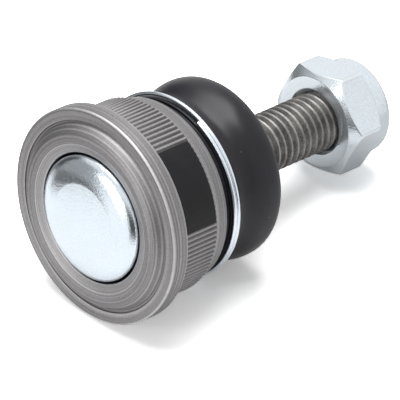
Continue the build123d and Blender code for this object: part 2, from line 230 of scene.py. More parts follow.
@named
class NutSettings(bpy.types.PropertyGroup):
    """Hexagon lock nut with a crimped collar."""

    across_flats: length(24.0, "Width over two flats")
    height: length(14.0, "Height of the nut")
    start: length(69.7, "Height of the bearing face")
    turned: angle(53.1, "Direction of one corner")
    face_radius: length(10.9, "Radius of the flat bearing face")
    face_bevel: length(2.0, "Height of the bevel round the bearing face")
    hexagon_height: length(8.0, "Height where the corners end")
    back_bevel: length(1.5, "Height of the bevel behind the corners")
    collar_radius: length(11.4, "Radius of the crimped collar")
    collar_round: length(1.6, "Rounding of the crimped collar")
    countersink: length(8.05, "Outer radius of the countersink")
    thread_root: length(7.05, "Largest radius of the nut's thread")
    thread_depth: length(1.12, "Depth of the nut's thread")
    pocket_radius: length(9.15, "Radius of the insert's pocket")
    pocket_start: length(10.0, "Height where the pocket starts")
    pocket_end: length(12.9, "Height where the pocket ends")
    window_radius: length(8.2, "Opening over the insert")
    edge_round: length(0.3, "Rounding of the hexagon's edges")


@named
class LabelSettings(bpy.types.PropertyGroup):
    """Bare black label on the knurled band."""

    start_angle: angle(-59.9, "Direction where the label starts")
    end_angle: angle(-10.9, "Direction where the label ends")
    start_height: length(5.8, "Height of the label's front edge")
    end_height: length(15.3, "Height of the label's back edge")
    thickness: length(0.09, "Thickness of the foil")
    ripple: length(0.012, "How far the foil sinks between two teeth")


@named
class FinishSettings(bpy.types.PropertyGroup):
    """Colours of the materials."""

    steel: colour((0.308, 0.300, 0.304), "Colour of the housing")
    # The bright steel also colours the painted highlight lines and edges.
    bright_steel: colour((0.72, 0.71, 0.715), "Colour of the housing's edges")
    zinc: colour((0.83, 0.91, 0.98), "Colour of the cap's zinc plate")
    nut_zinc: colour((0.86, 0.94, 1.0), "Colour of the nut's zinc plate")
    warm_zinc: colour((0.82, 0.88, 0.92), "Tint of the zinc in places")
    rubber: colour((0.010, 0.010, 0.015), "Colour of the boot")
    dust: colour((0.20, 0.20, 0.20), "Colour of the specks on the rubber")
    wire: colour((0.84, 0.90, 0.96), "Colour of the wires")
    phosphate: colour((0.33, 0.32, 0.31), "Colour of the stud")
    thread_crest: colour((0.74, 0.72, 0.71), "Colour of the rolled crests")
    nylon: colour((0.62, 0.60, 0.52), "Colour of the nut's insert")
    bearing: colour((0.70, 0.69, 0.64), "Colour of the bearing cups")
    spring: colour((0.16, 0.15, 0.15), "Colour of the preload spring")
    label: colour((0.012, 0.012, 0.014), "Colour of the bare label")


@named
class StageSettings(bpy.types.PropertyGroup):
    """Floor, lights and camera."""

    nose_down: angle(6.9, "How far the stud leans down in the view")
    floor_lean: angle(8.4, "How far the floor under flange and boot leans from the stud's axis")
    heading: angle(45.75, "Direction in which the camera looks, from the stud's side")
    elevation: angle(36.17, "Angle of the camera over the floor")
    distance: length(1264.4, "Camera to the ball, along the view")
    ball_right: length(-13.61, "Ball's place right of the view's middle")
    ball_up: length(0.51, "Ball's place over the view's middle")
    lens: number(509.7, "Focal length in mm")
    sensor: number(36.0, "Sensor width in mm")
    floor_size: length(4000.0, "Half the width of the floor")
    floor_colour: colour((0.86, 0.86, 0.86), "Colour of the floor")
    floor_lift: share(0.90, "How much more of the light a view gets from the floor")
    floor_glow: share(0.20, "Light that the floor adds in views and reflections")
    view_glow: share(0.08, "Light that the floor adds in views alone")
    sky_level: share(0.29, "Light of the room on the object")
    sky_shine: number(1.12, "Light of the room in mirrors")


@named
class JointSettings(bpy.types.PropertyGroup):
    """All the joint's settings."""

    housing: PointerProperty(type=HousingSettings)
    cap: PointerProperty(type=CapSettings)
    boot: PointerProperty(type=BootSettings)
    clamp: PointerProperty(type=ClampSettings)
    stud: PointerProperty(type=StudSettings)
    nut: PointerProperty(type=NutSettings)
    label: PointerProperty(type=LabelSettings)
    finish: PointerProperty(type=FinishSettings)
    stage: PointerProperty(type=StageSettings)


# ---------------------------------------------------------------- node helpers


class Nodes:
    """Adds nodes to a tree and joins each to what feeds it."""

    def __init__(self, tree):
        self.tree = tree

    def add(self, kind, inputs=None, **settings):
        node = self.tree.nodes.new(kind)
        for name, value in settings.items():
            setattr(node, name, value)
        for key, value in (inputs or {}).items():
            self.feed(node.inputs[key], value)
        return node

    def feed(self, socket, value):
        value = value.socket if isinstance(value, Number) else value
        if isinstance(value, bpy.types.NodeSocket):
            self.tree.links.new(value, socket)
        else:
            socket.default_value = value

    def number(self, socket):
        return Number(self, socket)

    def place(self):
        """The point's place in its object, as a vector."""
        return self.add("ShaderNodeTexCoord").outputs["Object"]

    def noise(self, vector, scale, detail, **others):
        feeds = {"Vector": vector, "Scale": scale, "Detail": detail, **others}
        return self.add("ShaderNodeTexNoise", feeds).outputs[0]

    def combine(self, x, y, z):
        return self.add("ShaderNodeCombineXYZ", {0: x, 1: y, 2: z}).outputs[0]

    def separate(self, vector):
        node = self.add("ShaderNodeSeparateXYZ", {0: vector})
        return [self.number(socket) for socket in node.outputs]

    def open_group(self, inputs, outputs):
        """Give the tree its named sockets, and return its input and output nodes."""
        for name, kind, default in inputs:
            socket = self.tree.interface.new_socket(name, in_out="INPUT", socket_type=kind)
            if default is not None:
                socket.default_value = default
        for name, kind in outputs:
            self.tree.interface.new_socket(name, in_out="OUTPUT", socket_type=kind)
        return self.add("NodeGroupInput"), self.add("NodeGroupOutput")


class Number:
    """A number inside a node tree, which takes part in sums as a plain number does."""

    def __init__(self, nodes, socket):
        self.nodes = nodes
        self.socket = socket

    def join(self, operation, *others, clamp=False):
        feeds = dict(enumerate((self, *others)))
        node = self.nodes.add("ShaderNodeMath", feeds, operation=operation, use_clamp=clamp)
        return Number(self.nodes, node.outputs[0])

    def __add__(self, other):
        return self.join("ADD", other)

    def __sub__(self, other):
        return self.join("SUBTRACT", other)

    def __mul__(self, other):
        return self.join("MULTIPLY", other)

    def __truediv__(self, other):
        return self.join("DIVIDE", other)

    def from_number(self, number):
        """The number less this one."""
        return (self * -1.0) + number

    def smooth(self, low, high):
        """0 below low, 1 above high, and a soft step between them."""
        node = self.nodes.add(
            "ShaderNodeMapRange", {"Value": self, "From Min": low, "From Max": high},
            interpolation_type="SMOOTHSTEP",
        )
        return Number(self.nodes, node.outputs[0])

    def spread(self, low, high):
        """This share, from 0 to 1, spread over low to high."""
        return self * (high - low) + low


# ---------------------------------------------------------------- geometry trees


def section_point(nodes, section, index, rows):
    """Radius, height, and wear with painted light, of the section's point that an index of the grid
    stands on.
    """
    row = index.join("FLOORED_MODULO", rows)

    def sample(value, kind):
        node = nodes.add("GeometryNodeSampleIndex", data_type=kind, domain="POINT")
        nodes.feed(node.inputs["Geometry"], section)
        nodes.feed(node.inputs["Value"], value)
        nodes.feed(node.inputs["Index"], row)
        return node.outputs[0]

    position = nodes.add("GeometryNodeInputPosition").outputs[0]
    wear = nodes.add("GeometryNodeInputNamedAttribute", {"Name": "wear"}, data_type="FLOAT")
    radius, _, height = nodes.separate(sample(position, "FLOAT_VECTOR"))
    return radius, height, nodes.number(sample(wear.outputs[0], "FLOAT"))


def open_tree(name, counted, sizes):
    """New tree that makes a piece from a section, with its count, its sizes and its finish."""
    tree = bpy.data.node_groups.new(name, "GeometryNodeTree")
    nodes = Nodes(tree)
    inputs = [
        ("Section", "NodeSocketGeometry", None),
        (counted, "NodeSocketInt", 96),
        *((size, "NodeSocketFloat", 0.0) for size in sizes),
        ("Finish", "NodeSocketMaterial", None),
    ]
    group, out = nodes.open_group(inputs, [("Piece", "NodeSocketGeometry")])
    return tree, nodes, group.outputs, out


def open_grid(nodes, columns, rows):
    """Grid of columns round the turn and rows along the section, and the index of its points."""
    grid = nodes.add("GeometryNodeMeshGrid", {"Vertices X": columns + 1.0, "Vertices Y": rows})
    return grid.outputs[0], nodes.number(nodes.add("GeometryNodeInputIndex").outputs[0])


def paint_tree(nodes, out, shape, material):
    """End a tree with real geometry in its material."""
    real = nodes.add("GeometryNodeRealizeInstances", {"Geometry": shape})
    painted = nodes.add(
        "GeometryNodeSetMaterial", {"Geometry": real.outputs[0], "Material": material}
    )
    nodes.feed(out.inputs[0], painted.outputs[0])


def bend_grid(nodes, out, grid, turned, radius, height, wear, material):
    """Bend a grid to its radius, angle and height, store the wear with painted light and close the
    seams.
    """
    place = nodes.combine(radius * turned.join("COSINE"), radius * turned.join("SINE"), height)
    marked = nodes.add(
        "GeometryNodeStoreNamedAttribute", {"Geometry": grid, "Name": "wear"},
        data_type="FLOAT", domain="POINT",
    )
    nodes.feed(marked.inputs["Value"], wear)
    placed = nodes.add(
        "GeometryNodeSetPosition", {"Geometry": marked.outputs[0], "Position": place}
    )
    merged = nodes.add(
        "GeometryNodeMergeByDistance", {"Geometry": placed.outputs[0], "Distance": MERGE_DISTANCE}
    )
    smooth = nodes.add("GeometryNodeSetShadeSmooth", {"Geometry": merged.outputs[0]})
    paint_tree(nodes, out, smooth.outputs[0], material)


def plain_radius(nodes, inputs, turn, radius, wear):
    return radius, wear


VALLEY_SHADE = -1.0         # painted shade in a tooth's valley; below zero it darkens the finish
CREST_WEAR = 0.12           # wear on a tooth's crest
EDGE_SHADOW = 0.35          # how much a flat darkens in a thin line beside its edges


def knurled_radius(nodes, inputs, turn, radius, wear):
    """Cut straight teeth where the section lies at the knurl's radius."""
    crest = nodes.number(inputs["Knurl Radius"])
    band = (radius / crest).join("COMPARE", 1.0, SECTION_END)
    middle = (turn * inputs["Teeth"]).join("FRACT").join("SUBTRACT", 0.5).join("ABSOLUTE")
    valley = middle.smooth(0.06, 0.34).from_number(1.0)
    cut = band * valley
    # Painted shade in each valley between the teeth, and wear on each crest.
    tooth = middle.smooth(0.08, 0.42).spread(VALLEY_SHADE, CREST_WEAR)
    return radius - cut * inputs["Knurl Depth"], wear + band * tooth


def hexagon_radius(nodes, inputs, turn, radius, wear):
    """Trim the turned section to a hexagon, with soft edges where the two meet."""
    rounding = nodes.number(inputs["Rounding"])
    sector = (turn * 6.0).join("FRACT").join("SUBTRACT", 0.5).join("ABSOLUTE") * (pi / 3)
    apothem = nodes.number(inputs["Apothem"])
    near = apothem / sector.join("COSINE")
    far = apothem / sector.from_number(pi / 3).join("COSINE")
    flats = near.join("SMOOTH_MIN", far, rounding * 2.0)
    trimmed = radius.join("SMOOTH_MIN", flats, rounding)
    meeting = (radius - flats).join("ABSOLUTE") / rounding
    corner = (far - near) / rounding
    # Edges and corners are painted lighter, partly as wear and partly as a painted highlight; a
    # painted shadow runs in a thin line beside them on the flats.
    edge = meeting.smooth(0.0, 1.2).from_number(1.0)
    on_flat = (radius - flats).join("GREATER_THAN", 0.0)
    beside = meeting.join("SUBTRACT", 0.8).join("ABSOLUTE").smooth(0.0, 0.5)
    shadow = beside.from_number(1.0) * on_flat
    corner_edge = corner.smooth(0.0, 1.4).from_number(1.0) * on_flat
    return trimmed, wear.join("MAXIMUM", edge).join("MAXIMUM", corner_edge) - shadow * EDGE_SHADOW


def turning_tree(name, shape_radius=plain_radius, sizes=()):
    """Tree that turns a half section about Z; a rule changes its radius round the turn."""
    tree, nodes, feeds, out = open_tree(name, "Columns", ("Turned", *sizes))
    rows = nodes.add("GeometryNodeAttributeDomainSize", {"Geometry": feeds["Section"]}).outputs[0]
    columns = nodes.number(feeds["Columns"])
    grid, index = open_grid(nodes, columns, rows)
    turn = (index / rows).join("FLOOR") / columns
    radius, height, wear = section_point(nodes, feeds["Section"], index, rows)
    radius, wear = shape_radius(nodes, feeds, turn, radius, wear)
    turned = turn * (2 * pi) + feeds["Turned"]
    bend_grid(nodes, out, grid, turned, radius, height, wear, feeds["Finish"])
    return tree


THREAD_SIZES = (
    "Turned", "Radius", "Depth", "Pitch", "Start", "End", "Run In", "Run Out", "Bevel"
)
THREAD_STEPS = 12           # rows of the grid in one pitch
ROOT_SHADE = 0.45           # how much the thread's root darkens


def thread_tree():
    """Tree that makes the threaded surface between two heights, on a grid that climbs with it."""
    tree, nodes, feeds, out = open_tree("Thread", "Columns", THREAD_SIZES)
    start, end, pitch, columns = (
        nodes.number(feeds[key]) for key in ("Start", "End", "Pitch", "Columns")
    )
    rows = (((end - start) / pitch + 1.0) * float(THREAD_STEPS) + 2.0).join("CEIL")
    grid, index = open_grid(nodes, columns, rows)
    turn = ((index + 0.5) / rows).join("FLOOR") / columns
    row = index.join("FLOORED_MODULO", rows)
    climb = (row / float(THREAD_STEPS) - 1.0 + turn) * pitch + start
    height = climb.join("MAXIMUM", start).join("MINIMUM", end)
    turned = turn * (2 * pi) + feeds["Turned"]
    phase = (height / pitch - turned / (2 * pi)).join("FRACT")
    to_crest = phase.join("SUBTRACT", 0.5).join("ABSOLUTE") * 2.0
    flank = to_crest.smooth(0.10, 0.90)
    run_in = ((height - start) / feeds["Run In"]).join("MINIMUM", 1.0)
    run_out = ((end - height) / feeds["Run Out"]).join("MINIMUM", 1.0)
    cut = flank.from_number(1.0) * run_in * run_out
    threaded = nodes.number(feeds["Radius"]) - cut * feeds["Depth"]
    bevel = (end - height) + feeds["Radius"] - feeds["Bevel"]
    # Crests are worn lighter; the roots get painted shade.
    root = to_crest.smooth(0.05, 0.5).from_number(1.0)
    wear = to_crest.smooth(0.90, 1.0) - root * ROOT_SHADE
    radius = threaded.join("MINIMUM", bevel)
    bend_grid(nodes, out, grid, turned, radius, height, wear, feeds["Finish"])
    return tree


WIRE_SIZES = ("Turns", "Radius", "Rise", "Wire Radius", "Start Height", "Start Angle")


def wire_tree():
    """Tree that winds a round wire into a rising coil and cuts both ends square."""
    tree, nodes, feeds, out = open_tree("Wound Wire", "Steps", WIRE_SIZES)
    line = nodes.add("GeometryNodeCurvePrimitiveLine").outputs[0]
    points = nodes.add("GeometryNodeResampleCurve", {"Curve": line, "Count": feeds["Steps"]})
    along = nodes.number(nodes.add("GeometryNodeSplineParameter").outputs["Factor"])
    swing = along * feeds["Turns"] * (2 * pi) + feeds["Start Angle"]
    radius = nodes.number(feeds["Radius"])
    height = along * feeds["Rise"] + feeds["Start Height"]
    place = nodes.combine(radius * swing.join("COSINE"), radius * swing.join("SINE"), height)
    coil = nodes.add("GeometryNodeSetPosition", {"Geometry": points.outputs[0], "Position": place})
    ring = nodes.add(
        "GeometryNodeCurvePrimitiveCircle", {"Resolution": 24, "Radius": feeds["Wire Radius"]}
    )
    solid = nodes.add("GeometryNodeCurveToMesh", {"Curve": coil.outputs[0], "Fill Caps": True})
    nodes.feed(solid.inputs["Profile Curve"], ring.outputs[0])
    paint_tree(nodes, out, solid.outputs[0], feeds["Finish"])
    return tree


# ---------------------------------------------------------------- mesh helpers


def turned_area(corners):
    """Signed area of a closed half section."""
    pairs = zip(corners, corners[1:] + corners[:1])
    return sum(a[0] * b[1] - b[0] * a[1] for a, b in pairs) / 2


def outline(corners, closed=True, steps=4):
    """Points (radius, height, wear with painted light) through corners (radius, height, rounding).

    Rounded outer edges are worn and painted lighter; part of that lighter colour is a painted
    highlight.
    """
    side = 1 if turned_area(corners) > 0 else -1
    total = len(corners)
    points = []
    for index, corner in enumerate(corners):
        rounding = corner[2] if len(corner) > 2 else 0.0
        middle = Vector(corner[:2])
        if not rounding:
            points.append((*middle, 0.0))
            continue
        before = Vector(corners[index - 1][:2]) - middle
        after = Vector(corners[(index + 1) % total][:2]) - middle
        back = middle + before.normalized() * min(rounding, before.length * 0.48)
        on = middle + after.normalized() * min(rounding, after.length * 0.48)
        outer = (after.x * before.y - after.y * before.x) * side > 0
        for step in range(steps + 1):
            part = step / steps
            point = back * (1 - part) ** 2 + middle * 2 * part * (1 - part) + on * part**2
            # Outer roundings get wear and a painted highlight along the edge.
            points.append((*point, sin(pi * part) if outer else 0.0))
    if closed:
        points.append(points[0])
    return points


def curve(start, start_lean, end_lean, end, steps):
    """Corners along a soft curve between two points; the leans pull it at each end."""
    knots = [Vector((*knot, 0)) for knot in (start, start_lean, end_lean, end)]
    return [(point.x, point.y) for point in interpolate_bezier(*knots, steps)]


def bend(start, leave, arrive, end, steps):
    """A soft curve whose leans are given in millimetres from the end that each pulls at."""
    first, last = (
        (point[0] + lean[0] * MM, point[1] + lean[1] * MM)
        for point, lean in ((start, leave), (end, arrive))
    )
    return curve(start, first, last, end, steps)


def paint_gap_shade(points, shade_start, shade_full, radius):
    """Paint shade, growing between two heights, on the points that lie outside a radius."""
    shaded_points = []
    for across, height, wear in points:
        if across > radius:
            darkness = min(max((height - shade_start) / (shade_full - shade_start), 0.0), 1.0)
            wear -= darkness * (1 + wear)
        shaded_points.append((across, height, wear))
    return shaded_points


def section_mesh(points, depth):
    """Loose points in the XZ plane, with their wear and painted light, lowered from the flange to
    the ball.
    """
    mesh = bpy.data.meshes.new("section")
    mesh.from_pydata([(radius, 0, height - depth) for radius, height, _ in points], [], [])
    wear = mesh.attributes.new("wear", "FLOAT", "POINT")
    wear.data.foreach_set("value", [point[2] for point in points])
    return mesh


def grow(name, tree, base=None, **values):
    """Run a geometry tree, on a mesh if it needs one, and keep the result as a plain object."""
    seed = bpy.data.objects.new(name + "_seed", base or bpy.data.meshes.new("seed"))
    bpy.context.scene.collection.objects.link(seed)
    modifier = seed.modifiers.new("Shape", "NODES")
    modifier.node_group = tree
    names = {key.replace("_", " ").title(): value for key, value in values.items()}
    for item in tree.interface.items_tree:
        if item.in_out == "INPUT" and item.name in names:
            modifier[item.identifier] = names[item.name]
    graph = bpy.context.evaluated_depsgraph_get()
    mesh = bpy.data.meshes.new_from_object(seed.evaluated_get(graph), depsgraph=graph)
    if not mesh.polygons:
        raise RuntimeError(f"{name} came out empty")
    bpy.data.objects.remove(seed)
    mesh.name = name
    piece = bpy.data.objects.new(name, mesh)
    bpy.context.scene.collection.objects.link(piece)
    return piece


def join(piece, *others):
    """Take the other objects' meshes into the piece."""
    mesh = bmesh.new()
    mesh.from_mesh(piece.data)
    for other in others:
        mesh.from_mesh(other.data)
        bpy.data.objects.remove(other)
    mesh.to_mesh(piece.data)
    mesh.free()
    return piece


def close_up(piece, sharp=None):
    """Merge what meets, turn all faces outwards, and mark edges sharper than so many degrees."""
    mesh = bmesh.new()
    mesh.from_mesh(piece.data)
    bmesh.ops.remove_doubles(mesh, verts=mesh.verts, dist=MERGE_DISTANCE)
    bmesh.ops.dissolve_degenerate(mesh, edges=mesh.edges, dist=MERGE_DISTANCE / 4)
    bmesh.ops.recalc_face_normals(mesh, faces=mesh.faces)
    if mesh.calc_volume(signed=True) < 0:
        bmesh.ops.reverse_faces(mesh, faces=mesh.faces)
    for face in mesh.faces:
        face.smooth = True
    mesh.to_mesh(piece.data)
    mesh.free()
    if sharp:
        piece.data.set_sharp_from_angle(angle=radians(sharp))
    return piece


def turn(name, tree, points, depth, sharp=None, columns=ROUND_COLUMNS, **values):
    """Turn a section into a closed piece."""
    seed = section_mesh(points, depth)
    return close_up(grow(name, tree, seed, columns=columns, **values), sharp)


def settle(piece, body, slot, *nodes):
    """Seat a finished piece on its body, in place of its CAD nodes."""
    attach(piece, body)
    if nodes:
        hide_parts(*nodes)
    return piece


# ---------------------------------------------------------------- shader groups


def build_turning_marks(nodes, feeds, outs):
    """Fine rings left by a turning tool, which fade and return round the piece."""
    x, y, z = nodes.separate(nodes.place())
    radius = (x * x + y * y).join("SQRT")
    fine = nodes.number(feeds["Fineness"])
    slow = fine * 0.004
    rings = nodes.combine(radius * fine, z * fine, (x + y * 0.6) * slow)
    broad = nodes.combine(radius * fine * 0.3, z * fine * 0.3, (x * 0.7 - y) * slow)
    nodes.feed(outs["Height"], nodes.noise(rings, 1.0, 3.0))
    nodes.feed(outs["Tone"], nodes.noise(broad, 1.0, 2.0))


def build_grain(nodes, feeds, outs):
    """Small irregular grain, the same in every direction."""
    noise = nodes.noise(nodes.place(), feeds["Scale"], feeds["Detail"], Roughness=0.6)
    nodes.feed(outs["Height"], noise)
    nodes.feed(outs["Mask"], nodes.number(noise).smooth(feeds["Low"], feeds["High"]))


def build_specks(nodes, feeds, outs):
    """Scattered specks of dust, each a small round dot."""
    cells = nodes.add("ShaderNodeTexVoronoi", {"Vector": nodes.place(), "Scale": feeds["Scale"]})
    distance = nodes.number(cells.outputs["Distance"])
    picked = nodes.separate(cells.outputs["Color"])
    size = picked[1] * nodes.number(feeds["Size"])
    shown = picked[0].join("LESS_THAN", feeds["Share"])
    nodes.feed(outs["Mask"], (size - distance).smooth(0.0, 0.04) * shown)


def build_wear_and_painted_light(nodes, feeds, outs):
    """Worn edges and painted highlights, broken up by grain, and painted shade where the wear goes
    below zero.
    """
    wear = nodes.number(nodes.add("ShaderNodeAttribute", attribute_name="wear").outputs["Fac"])
    broken = nodes.number(nodes.noise(nodes.place(), feeds["Scale"], 3.0)).spread(0.55, 1.35)
    level = wear * broken * feeds["Amount"]
    nodes.feed(outs["Mask"], level.join("MINIMUM", 1.0).join("MAXIMUM", 0.0))
    nodes.feed(outs["Valley"], (wear * -1.0).join("MAXIMUM", 0.0))


# What builds each group, its inputs as they stand, and its outputs.
SHADER_GROUPS = {
    "Turning Marks": (build_turning_marks, {"Fineness": 9000.0}, ("Height", "Tone")),
    "Grain": (
        build_grain, {"Scale": 4000.0, "Low": 0.4, "High": 0.6, "Detail": 4.0}, ("Height", "Mask")
    ),
    "Dust Specks": (build_specks, {"Scale": 900.0, "Size": 0.2, "Share": 0.2}, ("Mask",)),
    "Worn Edge": (build_wear_and_painted_light, {"Scale": 1500.0, "Amount": 1.0}, ("Mask", "Valley")),
}


def shader_group(name):
    """A shader node group, built the first time that it is asked for."""
    if name in bpy.data.node_groups:
        return bpy.data.node_groups[name]
    build, inputs, outputs = SHADER_GROUPS[name]
    tree = bpy.data.node_groups.new(name, "ShaderNodeTree")
    nodes = Nodes(tree)
    sockets = [(key, "NodeSocketFloat", default) for key, default in inputs.items()]
    group, out = nodes.open_group(sockets, [(key, "NodeSocketFloat") for key in outputs])
    build(nodes, group.outputs, out.inputs)
    return tree


# ---------------------------------------------------------------- materials


class Material:
    """A material with one Principled shader, whose colour and relief are built step by step."""

    def __init__(self, name, roughness, metallic=0.0, **plain):
        self.material = bpy.data.materials.new(name)
        self.material.use_nodes = True
        self.nodes = Nodes(self.material.node_tree)
        self.shader = self.material.node_tree.nodes["Principled BSDF"]
        self.shader.inputs["Roughness"].default_value = roughness
        self.shader.inputs["Metallic"].default_value = metallic
        for key, value in plain.items():
            self.shader.inputs[key.replace("_", " ")].default_value = value
        self.colour = None

    def group(self, name, **inputs):
        node = self.nodes.add("ShaderNodeGroup", node_tree=shader_group(name))
        for key, value in inputs.items():
            self.nodes.feed(node.inputs[key.title()], value)
        return {socket.name: self.nodes.number(socket) for socket in node.outputs}

    def grain(self, scale, low, high, **inputs):
        return self.group("Grain", scale=scale, low=low, high=high, **inputs)

    def lay(self, factor, over, blend):
        """Lay another colour over the colour so far."""
        node = self.nodes.add("ShaderNodeMix", data_type="RGBA", blend_type=blend)
        for socket, value in zip((node.inputs[0], *node.inputs[6:8]), (factor, self.colour, over)):
            self.nodes.feed(socket, value)
        self.colour = node.outputs[2]

    def paint(self, rgb):
        self.colour = (*rgb, 1.0)

    def mix(self, factor, rgb):
        self.lay(factor, (*rgb, 1.0), "MIX")

    def shade(self, factor, low, high):
        """Make the colour darker or lighter with a share from 0 to 1."""
        level = factor.spread(low, high)
        self.lay(1.0, self.nodes.combine(level, level, level), "MULTIPLY")

    def rough(self, factor, low, high):
        self.nodes.feed(self.shader.inputs["Roughness"], factor.spread(low, high))

    def relief(self, height, depth, strength=1.0):
        bump = self.nodes.add(
            "ShaderNodeBump", {"Height": height, "Distance": depth, "Strength": strength}
        )
        previous = self.shader.inputs["Normal"]
        if previous.is_linked:
            self.nodes.feed(bump.inputs["Normal"], previous.links[0].from_socket)
        self.nodes.feed(previous, bump.outputs[0])

    def done(self):
        self.nodes.feed(self.shader.inputs["Base Color"], self.colour)
        return self.material


def make_turned_steel(finish, knurl_start, knurl_end):
    """Turned steel, whose turning marks end where the knurl was rolled."""
    made = Material("turned_steel", 0.36, metallic=1.0)
    rings = made.group("Turning Marks", fineness=4500.0)
    height = made.nodes.separate(made.nodes.place())[2]
    soft = 0.15 * MM
    after = height.smooth(knurl_start - soft, knurl_start + soft)
    before = height.smooth(knurl_end - soft, knurl_end + soft).from_number(1.0)
    shown = (after * before).spread(1.0, 0.15)
    marks = {name: (level + -0.5) * shown + 0.5 for name, level in rings.items()}
    pits = made.grain(3800.0, 0.32, 0.62)
    edge = made.group("Worn Edge", scale=1500.0, amount=0.9)
    made.paint(finish.steel)
    made.shade(marks["Tone"].smooth(0.3, 0.7), 0.86, 1.10)
    made.shade(marks["Height"].smooth(0.36, 0.64), 0.76, 1.20)
    made.shade(pits["Mask"], 0.82, 1.10)
    # Painted shade in the knurl's valleys, the front groove and behind the lip; edges and thin
    # lines are worn lighter and carry painted highlights.
    made.shade(edge["Valley"], 1.0, 0.45)
    made.mix(edge["Mask"], finish.bright_steel)
    made.rough(marks["Tone"], 0.44, 0.60)
    made.relief(marks["Height"], 0.008 * MM, 0.9)
    made.relief(pits["Height"], 0.008 * MM, 0.6)
    return made.done()


BARE_ZINC = (0.95, 0.98, 1.0)     # where an edge has lost its plating's tint, and where edges carry a painted highlight


def make_zinc_plate(name, rgb, warm, metal):
    """Zinc plate, bright or a little milky, with small crystals and dark spots."""
    made = Material(name, 0.22, metallic=metal)
    crystals = made.grain(7000.0, 0.36, 0.66)
    dimples = made.grain(2900.0, 0.34, 0.66, detail=1.0)
    clouds = made.grain(140.0, 0.35, 0.75)
    spots = made.group("Dust Specks", scale=700.0, size=0.16, share=0.10)["Mask"]
    edge = made.group("Worn Edge", scale=2200.0, amount=0.55)
    made.paint(rgb)
    made.mix(clouds["Mask"] * 0.45, warm)
    made.shade(crystals["Mask"], 0.94, 1.02)
    made.shade(dimples["Mask"], 0.95, 1.02)
    made.shade(spots, 1.0, 0.74)
    # Painted shade in the cap's gap, the nut's thread roots and beside its edges; edges are worn
    # lighter and carry painted highlights.
    made.shade(edge["Valley"], 1.0, 0.04)
    made.mix(edge["Mask"], BARE_ZINC)
    made.rough(crystals["Mask"], 0.09, 0.16)
    made.relief(crystals["Height"], 0.004 * MM, 0.8)
    made.relief(dimples["Height"], 0.036 * MM, 1.0)
    return made.done()


def make_rubber(finish):
    made = Material("boot_rubber", 0.36, Specular_IOR_Level=0.42)
    pores = made.grain(2600.0, 0.35, 0.65)
    film = made.grain(90.0, 0.35, 0.75)
    dust = made.group("Dust Specks", scale=480.0, size=0.13, share=0.16)["Mask"]
    made.paint(finish.rubber)
    made.shade(film["Mask"], 0.85, 1.5)
    made.mix(dust, finish.dust)
    made.rough(film["Mask"], 0.30, 0.42)
    made.relief(pores["Height"], 0.015 * MM, 0.5)
    return made.done()


def make_wire(finish):
    made = Material("bright_wire", 0.10, metallic=1.0)
    drawn = made.grain(3000.0, 0.3, 0.7)
    made.paint(finish.wire)
    made.shade(drawn["Mask"], 0.96, 1.04)
    made.rough(drawn["Mask"], 0.17, 0.24)
    made.relief(drawn["Height"], 0.001 * MM, 0.3)
    return made.done()


def make_phosphated_steel(finish):
    made = Material("phosphated_steel", 0.4, metallic=1.0)
    skin = made.grain(3000.0, 0.36, 0.64, detail=2.0)
    stain = made.grain(260.0, 0.35, 0.7)
    edge = made.group("Worn Edge", scale=900.0, amount=0.95)
    made.paint(finish.phosphate)
    made.shade(skin["Mask"], 0.72, 1.18)
    made.shade(stain["Mask"], 0.75, 1.30)
    # Painted shade in the thread's roots; crests are worn lighter, and rounded edges are lighter
    # partly as a painted highlight.
    made.shade(edge["Valley"], 1.0, 0.45)
    made.mix(edge["Mask"], finish.thread_crest)
    made.rough(skin["Mask"], 0.38, 0.56)
    made.relief(skin["Height"], 0.012 * MM, 0.7)
    return made.done()


def make_moulded(name, rgb, roughness):
    """Moulded plastic: the bearing cups and the nut's insert."""
    made = Material(name, roughness)
    skin = made.grain(1800.0, 0.35, 0.65)
    cloud = made.grain(120.0, 0.3, 0.8)
    made.paint(rgb)
    made.shade(cloud["Mask"], 0.94, 1.04)
    made.rough(skin["Mask"], roughness - 0.06, roughness + 0.08)
    made.relief(skin["Height"], 0.01 * MM, 0.4)
    return made.done()


def make_spring_steel(finish):
    made = Material("spring_steel", 0.34, metallic=1.0)
    marks = made.group("Turning Marks", fineness=6000.0)
    skin = made.grain(2600.0, 0.3, 0.7)
    made.paint(finish.spring)
    made.shade(marks["Tone"], 0.85, 1.2)
    made.rough(skin["Mask"], 0.26, 0.42)
    made.relief(skin["Height"], 0.006 * MM, 0.5)
    return made.done()


def make_label_foil(finish):
    made = Material("label_foil", 0.42, Specular_IOR_Level=0.25)
    skin = made.grain(2200.0, 0.35, 0.65)
    handling = made.grain(160.0, 0.35, 0.75)
    made.paint(finish.label)
    made.shade(handling["Mask"], 0.9, 1.25)
    made.rough(handling["Mask"], 0.36, 0.50)
    made.relief(skin["Height"], 0.006 * MM, 0.4)
    return made.done()


def material(name, make, *values):
    """A finish by name, made the first time that it is asked for."""
    name += "_finish"
    made = bpy.data.materials.get(name) or make(*values)
    made.name = name
    return made


# ---------------------------------------------------------------- pieces


class Build(bpy.types.Operator):
    """Base of the operators that build one piece."""

    bl_options = {"REGISTER", "UNDO"}

    def execute(self, context):
        self.build(context.scene.ball_joint)
        return {"FINISHED"}


KNURL_SIZES = ("Teeth", "Knurl Radius", "Knurl Depth")
TOOTH_COLUMNS = 8           # faces round one tooth
LIP_SHADE = -0.75            # painted shade behind the lip's edge, stored below zero
GROOVE_SHADE = -0.35         # painted shade in the front groove
LIP_SHEEN = 0.12             # painted sheen on the rolled lip's face
